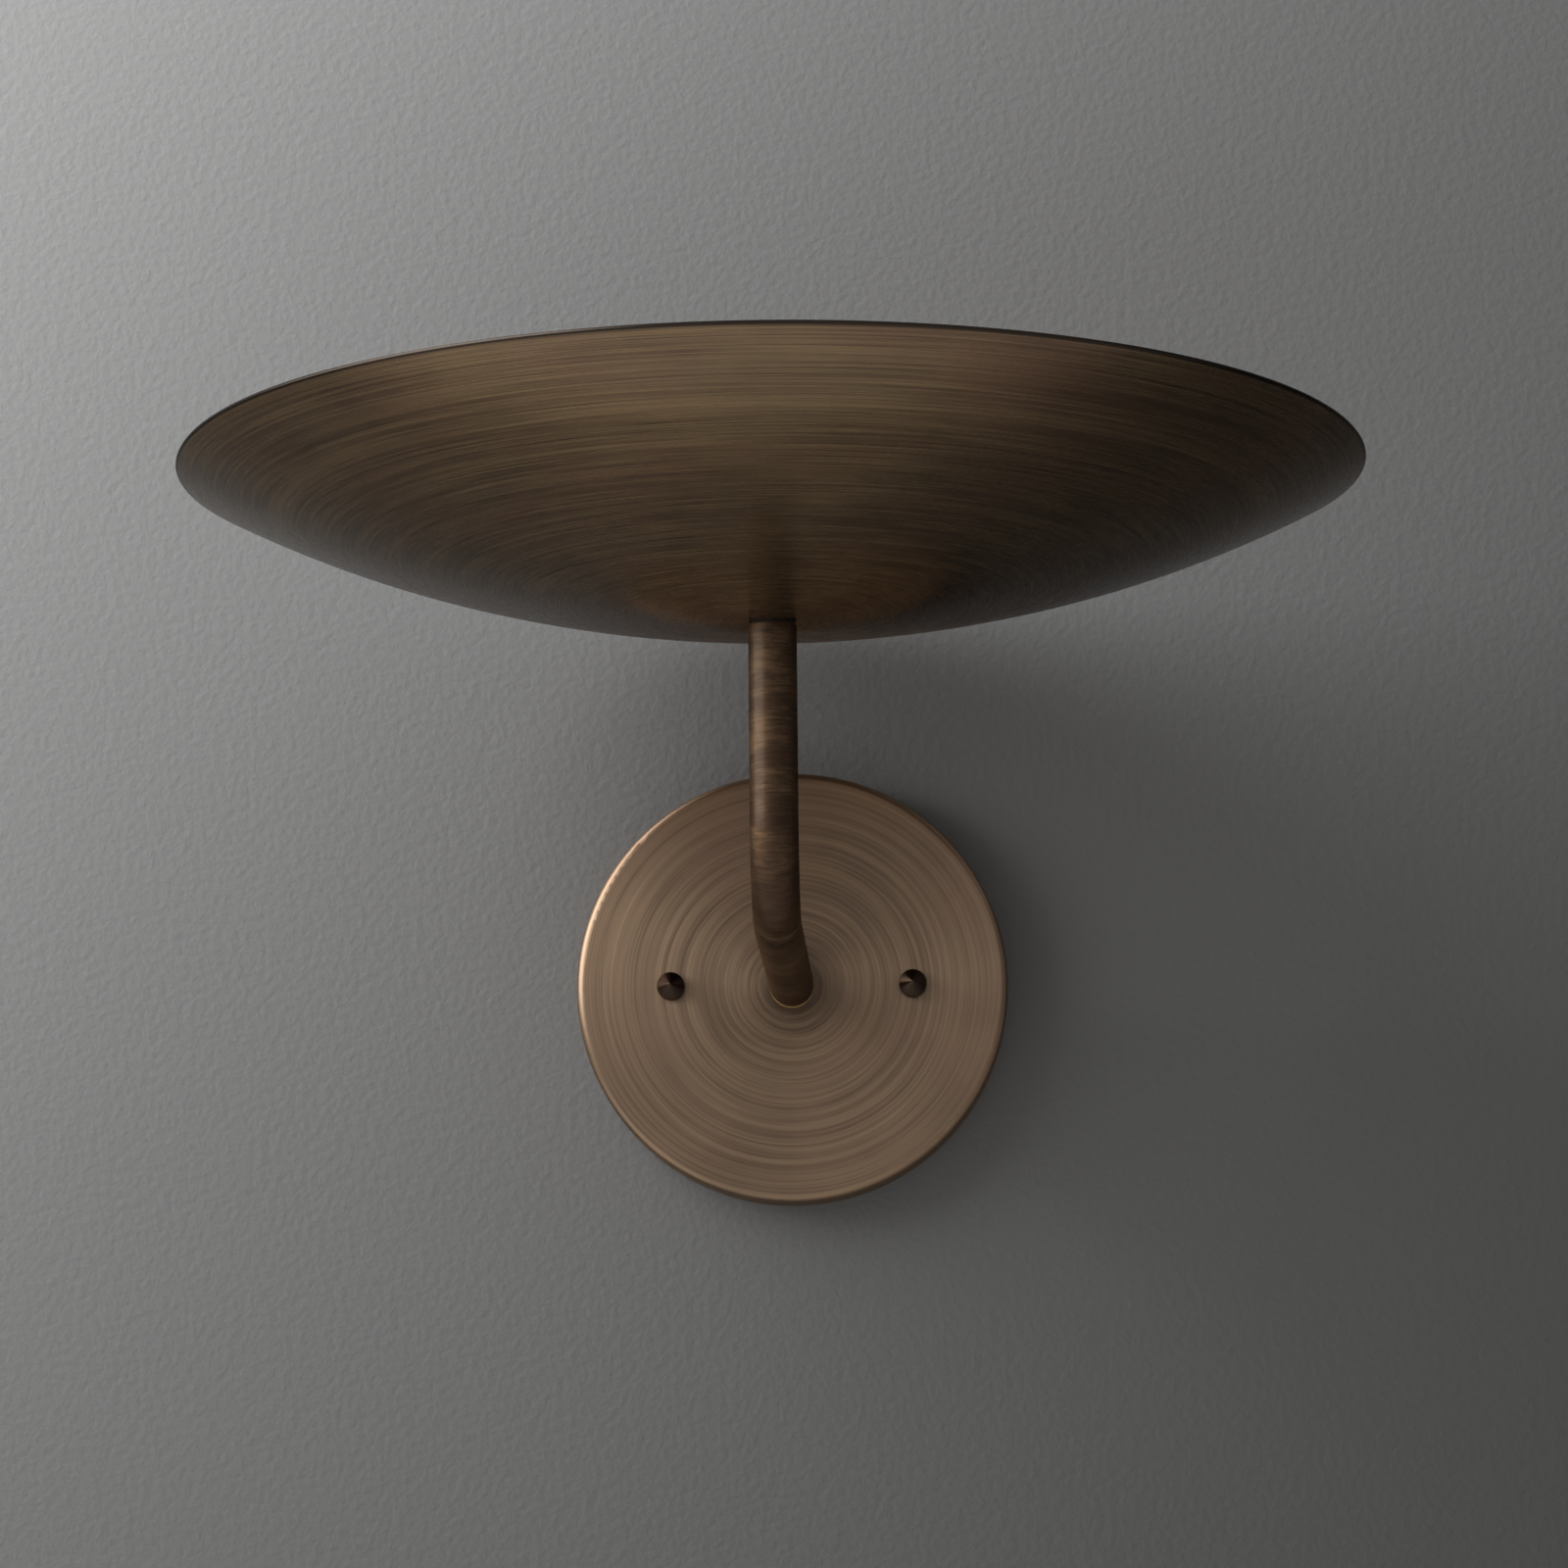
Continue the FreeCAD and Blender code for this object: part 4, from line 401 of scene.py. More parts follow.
def turning_tree():
    """Turns a profile about its own Z, with a thread where the profile asks for one, and flats for a nut."""
    tree, given = new_tree("turning", TURNING_LENGTHS, ("Segments",))
    profile, segments = given["Geometry"], given["Segments"]
    stations = add(tree, "GeometryNodeAttributeDomainSize", {0: profile}).outputs["Point Count"]
    around = add(tree, "ShaderNodeMath", {0: segments, 1: 1.0})
    grid = add(tree, "GeometryNodeMeshGrid", {"Vertices X": stations, "Vertices Y": around})
    index = add(tree, "GeometryNodeInputIndex")
    row, column = (add(tree, "FunctionNodeIntegerMath", {0: index, 1: around}, operation=rule)
                   for rule in ("DIVIDE_FLOOR", "MODULO"))
    place = add(tree, "GeometryNodeInputPosition")
    marked = add(tree, "GeometryNodeInputNamedAttribute", {"Name": "thread"}, data_type="FLOAT")
    corner, in_thread = (
        add(tree, "GeometryNodeSampleIndex", {"Geometry": profile, "Value": value, "Index": row}, data_type=kind)
        for value, kind in ((place, "FLOAT_VECTOR"), (marked, "FLOAT")))
    corner_place = add(tree, "ShaderNodeSeparateXYZ", {0: corner}).outputs
    blank, high = corner_place["X"], corner_place["Z"]
    share = add(tree, "ShaderNodeMath", {0: column, 1: segments}, operation="DIVIDE")
    angle = add(tree, "ShaderNodeMath", {0: share, 1: TURN}, operation="MULTIPLY")
    # The thread is a zigzag along the height that climbs by one pitch a turn.
    pitches = add(tree, "ShaderNodeMath", {0: high, 1: given["Thread Pitch"]}, operation="DIVIDE")
    turns = add(tree, "ShaderNodeMath", {0: pitches, 1: share}, operation="SUBTRACT")
    flanks = add(tree, "ShaderNodeMath", {0: turns, 1: 2.0}, operation="MULTIPLY")
    crest = add(tree, "ShaderNodeMath", {0: flanks, 1: 1.0}, operation="PINGPONG")
    root = add(tree, "ShaderNodeMath", {0: 1.0, 1: crest}, operation="SUBTRACT")
    deep = add(tree, "ShaderNodeMath", {0: root, 1: given["Thread Depth"]}, operation="MULTIPLY")
    cut_in = add(tree, "ShaderNodeMath", {0: deep, 1: in_thread}, operation="MULTIPLY")
    threaded_radius = add(tree, "ShaderNodeMath", {0: blank, 1: cut_in}, operation="SUBTRACT")
    # A nut's flats cut the round blank off, so its chamfers curve as they do on a turned nut.
    side = add(tree, "ShaderNodeMath", {0: angle, 1: TURN / 6}, operation="MODULO")
    off_middle = add(tree, "ShaderNodeMath", {0: side, 1: TURN / 12}, operation="SUBTRACT")
    lean = add(tree, "ShaderNodeMath", {0: off_middle}, operation="COSINE")
    half = add(tree, "ShaderNodeMath", {0: given["Flats"], 1: 0.5}, operation="MULTIPLY")
    flat = add(tree, "ShaderNodeMath", {0: half, 1: lean}, operation="DIVIDE")
    radius = add(tree, "ShaderNodeMath", {0: threaded_radius, 1: flat}, operation="MINIMUM")
    waves = [add(tree, "ShaderNodeMath", {0: angle}, operation=wave) for wave in ("COSINE", "SINE")]
    x, y = (add(tree, "ShaderNodeMath", {0: radius, 1: wave}, operation="MULTIPLY") for wave in waves)
    spun = add(tree, "ShaderNodeCombineXYZ", {0: x, 1: y, 2: high})
    body = add(tree, "GeometryNodeSetPosition", {"Geometry": grid.outputs["Mesh"], "Position": spun})
    closed = add(tree, "GeometryNodeMergeByDistance", {"Geometry": body, "Distance": WELD})
    smooth = add(tree, "GeometryNodeSetShadeSmooth", {"Geometry": closed}, domain="FACE")
    bend = add(tree, "GeometryNodeInputMeshEdgeAngle").outputs["Unsigned Angle"]
    sharp = add(tree, "FunctionNodeCompare", {0: bend, 1: SHARP_BEND}, operation="GREATER_THAN")
    crisp = add(tree, "GeometryNodeSetShadeSmooth", {"Geometry": smooth, "Selection": sharp, "Shade Smooth": False},
                domain="EDGE")
    return end_tree(tree, crisp)


def bent_tube_tree(turning):
    """The arm: a turned tube, bent once from straight out of the wall to straight up."""
    tree, given = new_tree("bent_tube", (*TURNING_LENGTHS, "Foot", "Reach", "Bend Radius"), ("Segments",))
    passed_on = {label: given[label] for label in ("Geometry", "Segments", *TURNING_LENGTHS)}
    tube = add(tree, "GeometryNodeGroup", passed_on, node_tree=turning)
    bend = given["Bend Radius"]
    bend_start = add(tree, "ShaderNodeMath", {0: given["Reach"], 1: bend}, operation="SUBTRACT")
    run = add(tree, "ShaderNodeMath", {0: bend_start, 1: given["Foot"]}, operation="SUBTRACT")
    x, y, z = add(tree, "ShaderNodeSeparateXYZ", {0: add(tree, "GeometryNodeInputPosition")}).outputs
    past = add(tree, "ShaderNodeMath", {0: z, 1: run}, operation="SUBTRACT")
    quarter = add(tree, "ShaderNodeMath", {0: bend, 1: TURN / 4}, operation="MULTIPLY")
    in_bend = add(tree, "ShaderNodeClamp", {0: past, "Min": 0.0, "Max": quarter})
    angle = add(tree, "ShaderNodeMath", {0: in_bend, 1: bend}, operation="DIVIDE")
    sine, cosine = (add(tree, "ShaderNodeMath", {0: angle}, operation=wave) for wave in ("SINE", "COSINE"))
    outer = add(tree, "ShaderNodeMath", {0: bend, 1: y})
    # Out from the wall: the straight run before the bend, then the bend itself.
    forward = add(tree, "ShaderNodeMath", {0: outer, 1: sine, 2: bend_start}, operation="MULTIPLY_ADD")
    short = add(tree, "ShaderNodeMath", {0: past, 1: 0.0}, operation="MINIMUM")
    total = add(tree, "ShaderNodeMath", {0: forward, 1: short})
    out = add(tree, "ShaderNodeMath", {0: total, 1: -1.0}, operation="MULTIPLY")
    # Upwards: the bend, then the upright.
    inner = add(tree, "ShaderNodeMath", {0: outer, 1: cosine}, operation="MULTIPLY")
    risen = add(tree, "ShaderNodeMath", {0: bend, 1: inner}, operation="SUBTRACT")
    rest = add(tree, "ShaderNodeMath", {0: past, 1: quarter}, operation="SUBTRACT")
    upright = add(tree, "ShaderNodeMath", {0: rest, 1: 0.0}, operation="MAXIMUM")
    up = add(tree, "ShaderNodeMath", {0: risen, 1: upright})
    bent = add(tree, "ShaderNodeCombineXYZ", {0: x, 1: out, 2: up})
    return end_tree(tree, add(tree, "GeometryNodeSetPosition", {"Geometry": tube, "Position": bent}))


def wire_tree():
    """A round wire along a route with rounded corners, wound into a coil where a coil radius is given."""
    tree, given = new_tree("wire", ("Wire Radius", "Corner Radius", "Coil Radius", "Coil Pitch", "Step"), ("Sides",))
    route = add(tree, "GeometryNodeMeshToCurve", {0: given["Geometry"]})
    rounded = add(tree, "GeometryNodeFilletCurve", {"Curve": route, "Count": 6, "Limit Radius": True,
                                                    "Radius": given["Corner Radius"]}, mode="POLY")
    fine = add(tree, "GeometryNodeResampleCurve", {"Curve": rounded, "Length": given["Step"]}, mode="LENGTH")
    length = add(tree, "GeometryNodeSplineParameter").outputs["Length"]
    turns = add(tree, "ShaderNodeMath", {0: length, 1: given["Coil Pitch"]}, operation="DIVIDE")
    angle = add(tree, "ShaderNodeMath", {0: turns, 1: TURN}, operation="MULTIPLY")
    normal = add(tree, "GeometryNodeInputNormal").outputs["Normal"]
    across = add(tree, "ShaderNodeVectorMath", {0: normal, 1: add(tree, "GeometryNodeInputTangent")},
                 operation="CROSS_PRODUCT")
    offset = (0, 0, 0)
    for way, wave in ((normal, "COSINE"), (across, "SINE")):
        swing = add(tree, "ShaderNodeMath", {0: angle}, operation=wave)
        far = add(tree, "ShaderNodeMath", {0: swing, 1: given["Coil Radius"]}, operation="MULTIPLY")
        part = add(tree, "ShaderNodeVectorMath", {0: way, "Scale": far}, operation="SCALE")
        offset = add(tree, "ShaderNodeVectorMath", {0: offset, 1: part})
    wound = add(tree, "GeometryNodeSetPosition", {"Geometry": fine, "Offset": offset})
    section = add(tree, "GeometryNodeCurvePrimitiveCircle", {"Resolution": given["Sides"],
                                                             "Radius": given["Wire Radius"]}, mode="RADIUS")
    wire = add(tree, "GeometryNodeCurveToMesh", {"Curve": wound, "Profile Curve": section, "Fill Caps": True})
    smooth = add(tree, "GeometryNodeSetShadeSmooth", {"Geometry": wire}, domain="FACE")
    return end_tree(tree, smooth)


def slotting_tree():
    """Cuts a screwdriver slot across the top of a screw."""
    tree, given = new_tree("slotting", ("Slot Length", "Slot Width", "Slot Depth", "Top"), ())
    tall = add(tree, "ShaderNodeMath", {0: given["Slot Depth"], 1: 2.0}, operation="MULTIPLY")
    size = add(tree, "ShaderNodeCombineXYZ", {0: given["Slot Length"], 1: given["Slot Width"], 2: tall})
    blade = add(tree, "GeometryNodeMeshCube", {"Size": size})
    top = add(tree, "ShaderNodeCombineXYZ", {2: given["Top"]})
    placed = add(tree, "GeometryNodeTransform", {"Geometry": blade, "Translation": top})
    cut = add(tree, "GeometryNodeMeshBoolean", {"Mesh 1": given["Geometry"], "Mesh 2": placed},
              operation="DIFFERENCE", solver="EXACT")
    return end_tree(tree, cut)


def teeth_tree():
    """Copies of one tooth round an axis, each turned to face outwards."""
    tree, given = new_tree("teeth", ("Radius",), ("Count",))
    ring = add(tree, "GeometryNodeMeshCircle", {"Vertices": given["Count"], "Radius": given["Radius"]})
    index = add(tree, "GeometryNodeInputIndex")
    share = add(tree, "ShaderNodeMath", {0: index, 1: given["Count"]}, operation="DIVIDE")
    angle = add(tree, "ShaderNodeMath", {0: share, 1: TURN}, operation="MULTIPLY")
    facing = add(tree, "ShaderNodeCombineXYZ", {2: angle})
    return end_tree(tree, add(tree, "GeometryNodeInstanceOnPoints", {
        "Points": ring, "Rotation": facing, "Instance": given["Geometry"]}))


def rows_tree():
    """Copies of one piece in rows and columns about its own place."""
    tree, given = new_tree("rows", ("Column Pitch", "Row Pitch"), ("Columns", "Rows"))
    spans = []
    for pitch, count in (("Column Pitch", "Columns"), ("Row Pitch", "Rows")):
        gaps = add(tree, "ShaderNodeMath", {0: given[count], 1: 1.0}, operation="SUBTRACT")
        spans.append(add(tree, "ShaderNodeMath", {0: given[pitch], 1: gaps}, operation="MULTIPLY"))
    grid = add(tree, "GeometryNodeMeshGrid", {"Size X": spans[0], "Size Y": spans[1], "Vertices X": given["Columns"],
                                              "Vertices Y": given["Rows"]})
    return end_tree(tree, add(tree, "GeometryNodeInstanceOnPoints", {
        "Points": grid.outputs["Mesh"], "Instance": given["Geometry"]}))


def grow(tree, seed, **sizes):
    """Grows a plain mesh from a tree and a seed mesh; sizes are the tree's inputs by name, in mm."""
    holder = placed("seed", seed)
    grower = holder.modifiers.new("grow", "NODES")
    grower.node_group = tree
    sockets = {item.name: item for item in tree.interface.items_tree if item.in_out == "INPUT"}
    for label, value in sizes.items():
        socket = sockets[label.replace("_", " ").title()]
        grower[socket.identifier] = value * MM if socket.socket_type == "NodeSocketFloat" else value
    grown = holder.evaluated_get(bpy.context.evaluated_depsgraph_get())
    mesh = bpy.data.meshes.new_from_object(grown)
    bpy.data.objects.remove(holder)
    return mesh


def line_seed(points, marks=None):
    """A seed of straight runs through points in mm; marks say how deep the thread is at each."""
    seed = bpy.data.meshes.new("seed")
    seed.from_pydata([Vector(p) * MM for p in points], [(i, i + 1) for i in range(len(points) - 1)], [])
    if marks:
        seed.attributes.new("thread", "FLOAT", "POINT").data.foreach_set("value", marks)
    return seed


def joined(*meshes):
    """Several meshes as one, without the loose edges that turning leaves on the axis."""
    build = bmesh.new()
    for mesh in meshes:
        build.from_mesh(mesh)
    loose = [edge for edge in build.edges if not edge.link_faces]
    bmesh.ops.delete(build, geom=loose, context="EDGES")
    whole = meshes[0].copy()
    build.to_mesh(whole)
    build.free()
    return whole


def volume(mesh):
    """Volume inside a closed mesh: below nothing where its faces point inwards."""
    mesh.calc_loop_triangles()
    at = [v.co for v in mesh.vertices]
    return sum(at[a].dot(at[b].cross(at[c])) for a, b, c in (t.vertices for t in mesh.loop_triangles)) / 6


def rounded_outline(corners):
    """Points of an outline from (radius, height, rounding, thread) corners: the last two may be left out.

    An outline that starts and ends on the axis stays open, and any other is closed.
    """
    steps = 6
    corners = [tuple(c) + (0.0,) * (4 - len(c)) for c in corners]
    on_axis = corners[0][0] == 0 and corners[-1][0] == 0
    points = []
    for i, (r, h, rounding, thread) in enumerate(corners):
        if not rounding:
            points.append((r, h, thread))
            continue
        here = Vector((r, h))
        back = Vector(corners[i - 1][:2]) - here
        on = Vector(corners[(i + 1) % len(corners)][:2]) - here
        half = back.angle(on) / 2
        trim = min(rounding / math.tan(half), back.length * 0.49, on.length * 0.49)
        centre = here + (back.normalized() + on.normalized()).normalized() * (trim / math.cos(half))
        first, last = here + back.normalized() * trim - centre, here + on.normalized() * trim - centre
        turn = first.angle_signed(last)
        points += [(*(centre + Matrix.Rotation(-turn * k / steps, 2) @ first), thread) for k in range(steps + 1)]
    if not on_axis:
        points.append(points[0])
    return points


def threaded(radius, low, high, pitch):
    """Corners of a threaded stretch, whose thread runs out at both ends; low may be above high."""
    steps = max(8, round(abs(high - low) / pitch * 6))
    run_out = 4
    return [(radius, low + (high - low) * k / steps, 0.0, min(k, steps - k, run_out) / run_out)
            for k in range(steps + 1)]


TURNING = turning_tree()
BENT_TUBE = bent_tube_tree(TURNING)
WIRE = wire_tree()
SLOTTING = slotting_tree()
TEETH = teeth_tree()
ROWS = rows_tree()
FROM_WALL = Matrix.Rotation(TURN / 4, 4, "X")
# Wider than any piece, so nothing is cut to it.
NO_FLATS = 1000.0


def from_wall(x):
    """A place on the wall beside the middle of the canopy, facing out."""
    return Matrix.Translation((x * MM, 0, 0)) @ FROM_WALL


def on_upright(height):
    """A place on the upright's axis, facing up."""
    return Matrix.Translation(Vector((0, -ARM_REACH, height)) * MM)


ON_UPRIGHT = on_upright(0.0)


def along_lamp(side):
    """From a lamp's own axis, which starts at the middle of the cluster, to the frame: side is 1 or -1."""
    return on_upright(LAMP_HEIGHT) @ Matrix.Rotation(math.radians(side * (90 - LAMP_TILT)), 4, "Y")


def dressed(name, node, mesh, place=Matrix.Identity(4)):
    """Puts a mesh in place of a CAD node, on the node's own body and with its slot's finish."""
    mesh.transform(place)
    if volume(mesh) < 0:
        mesh.flip_normals()
    # A tree leaves an empty material slot.
    mesh.materials.clear()
    mesh.materials.append(OWN_FINISH.get(node, FINISH[SLOTS[node]]))
    mesh.name = name
    piece = placed(name, mesh)
    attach(piece, NODES[node]["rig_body"])
    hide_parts(node)


def turned(corners, segments=64, flats=NO_FLATS, pitch=1.0, depth=0.0, tree=TURNING, **sizes):
    """A turned mesh from its corners in mm."""
    outline = rounded_outline(corners)
    seed = line_seed([(r, 0.0, h) for r, h, thread in outline], [thread for r, h, thread in outline])
    return joined(grow(tree, seed, segments=segments, flats=flats, thread_pitch=pitch, thread_depth=depth, **sizes))


# ---- the bowl and its arm
def bowl_corners():
    """The spun bowl's outline: flat seat, shallow cone and two curves, then the rim and back along the inside."""
    stations = [(NIPPLE_HOLE / 2, DISH_POLE, 0.0), (SEAT_RADIUS, DISH_POLE, 0.0)]

    def curve(until, radius, steps):
        """Goes on at the last slope along an arc, out to a distance from the axis."""
        r, h, slope = stations[-1]
        last = math.asin(math.sin(slope) + (until - r) / radius)
        for k in range(1, steps + 1):
            angle = slope + (last - slope) * k / steps
            stations.append((r + radius * (math.sin(angle) - math.sin(slope)),
                             h + radius * (math.cos(slope) - math.cos(angle)), angle))

    curve(SEAT_RADIUS + HUB_BLEND * math.sin(HUB_TILT), HUB_BLEND, 6)
    r, h, slope = stations[-1]
    stations.append((HUB_RADIUS, h + (HUB_RADIUS - r) * math.tan(HUB_TILT), HUB_TILT))
    curve(INNER_BOWL_EDGE, INNER_BOWL_CURVE, 16)
    curve(DISH_RIM_RADIUS, OUTER_BOWL_CURVE, 18)
    under = [(r, h) for r, h, slope in stations]
    over = [(r - DISH_SHEET * math.sin(a), h + DISH_SHEET * math.cos(a)) for r, h, a in stations]
    under[-1] += (0.25,)
    over[-1] += (0.3,)
    return under + over[::-1]


dressed("spun_bowl", "dish", turned(bowl_corners(), segments=256), ON_UPRIGHT)


def arm_corners(steps=120):
    """The arm's outline before it is bent: along the outside in short steps, and back along the bore."""
    length = ARM_REACH - BEND_RADIUS - ARM_FOOT + BEND_RADIUS * TURN / 4 + ARM_TOP - BEND_RADIUS
    outside, inside = ARM_DIAMETER / 2, ARM_BORE / 2
    stations = [length * k / steps for k in range(1, steps)]
    return [(inside, 0.0), (outside, 0.0, 0.2), *((outside, h) for h in stations),
            (outside, length, 0.35), (inside, length), *((inside, h) for h in stations[::-1])]


dressed("bent_arm", "arm_tube", turned(arm_corners(), segments=72, tree=BENT_TUBE, foot=ARM_FOOT, reach=ARM_REACH,
                                       bend_radius=BEND_RADIUS))


def washer(outside, low, high, rounding=0.15):
    """Corners of a flat ring on a nipple."""
    return [(RING_BORE, low), (outside, low, rounding), (outside, high, rounding), (RING_BORE, high)]


def nut(bore, flats, low, high, segments):
    """A hexagonal nut, cut from a round blank that is chamfered at both ends."""
    corner = flats / 2 / math.cos(TURN / 12)
    face = flats / 2 * 0.96
    slope = (corner - face) * 0.5
    blank = [(bore, low), (face, low), (corner, low + slope), (corner, high - slope), (face, high), (bore, high)]
    return turned(blank, segments=segments, flats=flats)


def nipple(low, high):
    """A hollow threaded nipple."""
    run_in = 0.4
    thread = threaded(NIPPLE_RADIUS, low + run_in, high - run_in, NIPPLE_THREAD["pitch"])
    return turned([(NIPPLE_BORE, low), (NIPPLE_RADIUS, low, 0.2), *thread, (NIPPLE_RADIUS, high, 0.2),
                   (NIPPLE_BORE, high)], **NIPPLE_THREAD)


def lock_washer(low, high, teeth=14):
    """A toothed lock washer: a flat ring with twisted teeth round it."""
    band_edge, root, twist = 6.6, 0.2, 0.3
    tooth = bpy.data.meshes.new("tooth")
    corners = [(-0.4, -0.9, low + root), (-0.4, 0.9, low + root), (-0.4, 0.9, high - root), (-0.4, -0.9, high - root),
               (1.4, -0.75, low), (1.4, 0.75, low + twist), (1.4, 0.75, high), (1.4, -0.75, high - twist)]
    tooth.from_pydata([Vector(c) * MM for c in corners], [],
                      [(3, 2, 1, 0), (4, 5, 6, 7), (0, 1, 5, 4), (2, 3, 7, 6), (1, 2, 6, 5), (3, 0, 4, 7)])
    return joined(turned(washer(band_edge, low, high, 0.1)), grow(TEETH, tooth, count=teeth, radius=band_edge))


def slotted(corners, width, deep, **thread):
    """A turned screw with a screwdriver slot in its head, which ends its corners."""
    top = corners[-1][1]
    return joined(grow(SLOTTING, turned(corners, **thread), slot_length=50.0, slot_width=width, slot_depth=deep,
                       top=top))


dressed("bright_foot_ring", "foot_ring", turned(washer(6.45, CANOPY_FACE, ARM_FOOT)), FROM_WALL)
dressed("rubber_neck_washer", "neck_washer", turned(washer(5.85, ARM_TOP, DISH_POLE, 0.1)), ON_UPRIGHT)

# ---- fixings on the wall side
# Outlines are rows of radius, height and rounding, from the end at the wall to the end that faces the room.
CAP_NUT = [(STUD_NUT_BORE, CANOPY_FACE), (3.97, CANOPY_FACE, 0.2), (3.97, 19.0, 0.3), (0.35, 23.0, 0.25), (0.0, 23.0),
           (0.0, 20.2), (STUD_NUT_BORE, 20.2)]
STUD = [(0.0, 0.0), (STUD_RADIUS, 0.0, 0.2), *threaded(STUD_RADIUS, 0.3, 19.4, M4_THREAD["pitch"]),
        (STUD_RADIUS, 19.8, 0.3), (0.0, 19.8)]
for name, x in STUDS:
    dressed("conical_cap_nut_" + name, "cap_nut_" + name, turned(CAP_NUT, segments=96), from_wall(x))
    dressed("threaded_stud_" + name, "stud_" + name, turned(STUD, segments=32, **M4_THREAD), from_wall(x))
    dressed("hexagon_stud_nut_" + name, "stud_nut_" + name, nut(STUD_NUT_BORE, STUD_NUT_FLATS, 2.0, 5.2, 72),
            from_wall(x))

dressed("threaded_wall_nipple", "wall_nipple", nipple(9.7, 30.6), FROM_WALL)
dressed("toothed_canopy_washer", "canopy_lock_washer", lock_washer(14.0, 15.0), FROM_WALL)
dressed("hexagon_canopy_nut", "canopy_lock_nut", nut(NUT_BORE, NUT_FLATS, 10.2, 13.2, 96), FROM_WALL)
BUSH = [(3.1, 9.0, 0.3), (5.0, 9.0, 0.3), (5.0, 9.7), (3.7, 9.7), (3.7, 12.7), (3.1, 12.7, 0.2)]
dressed("moulded_bush", "nipple_bush", turned(BUSH), FROM_WALL)
EARTH_SCREW = [(0.0, 0.0), (STUD_RADIUS, 0.0, 0.2), *threaded(STUD_RADIUS, 0.2, 3.4, M4_THREAD["pitch"]),
               (STUD_RADIUS, 3.6), (4.0, 3.6, 0.2), (4.0, 6.2, 1.0), (0.0, 6.2)]
dressed("green_earth_screw", "earth_screw", slotted(EARTH_SCREW, 1.0, 1.2, **M4_THREAD), from_wall(EARTH_PLACE))
BLOCK_SCREW = [(0.0, 0.0), (1.5, 0.0, 0.2), *threaded(1.5, 0.2, 10.6, 0.5), (1.5, 11.0), (2.6, 11.0, 0.1),
               (2.6, 13.0, 0.8), (0.0, 13.0)]
dressed("block_fixing_screw", "terminal_fixing_screw",
        slotted(BLOCK_SCREW, 0.7, 0.9, segments=32, pitch=0.5, depth=0.3), from_wall(BLOCK_PLACE))
CLAMP_SCREW = [(0.0, 8.7), (1.3, 8.7, 0.2), *threaded(1.3, 8.8, 10.2, 0.5), (1.3, 10.6, 0.2), (0.0, 10.6)]
clamp = slotted(CLAMP_SCREW, 0.5, 0.7, segments=32, pitch=0.5, depth=0.2)
dressed("clamping_screws", "terminal_screws",
        grow(ROWS, clamp, columns=2, rows=2, column_pitch=8.0, row_pitch=8.8), from_wall(BLOCK_PLACE))

# ---- cluster in the middle of the bowl
dressed("threaded_dish_nipple", "dish_nipple", nipple(62.2, 85.6), ON_UPRIGHT)
dressed("floor_spacer_ring", "floor_spacer", turned(washer(8.0, 77.7, 79.9, 0.3)), ON_UPRIGHT)
dressed("toothed_cluster_washer", "cluster_lock_washer", lock_washer(81.1, 82.1), ON_UPRIGHT)
dressed("hexagon_cluster_nut", "cluster_nut", nut(NUT_BORE, NUT_FLATS, 82.1, 85.1, 96), ON_UPRIGHT)
CAP_SCREW = [(0.0, 14.18), (1.45, 14.18, 0.2), *threaded(1.45, 14.4, 19.2, 0.5), (1.45, 19.69), (2.5, 19.69, 0.1),
             (2.5, 21.29, 0.9), (0.0, 21.29)]
for name, turn in (("front", TURN / 4), ("back", -TURN / 4)):
    screw = slotted(CAP_SCREW, 0.6, 0.7, pitch=0.5, depth=0.25)
    dressed("slotted_cap_screw_" + name, "cap_screw_" + name, screw,
            on_upright(CAP_SCREW_HEIGHT) @ Matrix.Rotation(turn, 4, "X"))

# ---- lampholders and lamps, along each lamp's axis
GROOVE = ((11.5, 0.0), (11.0, 0.35), (11.0, 0.95), (11.5, 1.3))
GROOVES = [(r, start + u) for start in (42.0, 45.0) for r, u in GROOVE]
PORCELAIN = [(2.7, 15.74), (4.0, 15.74, 0.2), (4.0, 23.44), (8.0, 23.44, 0.6), (11.5, 27.44, 2.5), *GROOVES,
             (11.5, 50.94, 0.3), (12.2, 50.94, 0.5), (12.2, 53.44, 0.9), (6.75, 53.44, 0.5), (6.75, 31.04),
             (1.25, 31.04), (1.25, 29.54), (2.7, 29.54)]
SHELL = [(3.2, 31.04), (6.7, 31.04), (6.7, 52.44), (6.5, 52.44), *threaded(6.5, 52.2, 32.4, LAMP_PITCH), (6.5, 31.64),
         (3.2, 31.64)]
CONTACT = [(0.0, 28.54), (1.2, 28.54, 0.2), (1.2, 31.04), (2.6, 31.04), (2.6, 33.04, 0.3), (1.2, 33.64, 0.3),
           (0.0, 33.64)]
BASE = [(5.35, 37.04), (5.95, 37.04, 0.2), *threaded(5.95, 37.4, 53.4, LAMP_PITCH), (5.95, 53.74), (8.8, 54.74, 0.5),
        (8.8, 55.74, 0.2), (8.2, 55.74), (8.2, 55.04), (5.35, 54.04)]
INSULATOR = [(0.0, 34.94), (2.4, 34.94, 0.2), (5.3, 37.04, 0.5), (5.3, 39.04), (0.0, 39.04)]
TIP = [(0.0, 33.94), (1.3, 33.94, 0.5), (2.0, 34.94), (0.0, 34.94)]
GLASS_RADIUS = 9.5
GLASS_SHEET = 0.8
GLASS_TOP = 104.04


def dome(radius, top):
    """The lamp's round end, from its straight side to its axis."""
    steps = 14
    angles = [TURN / 4 * k / steps for k in range(steps)]
    return [(radius * math.cos(a), top - radius + radius * math.sin(a)) for a in angles] + [(0.0, top)]


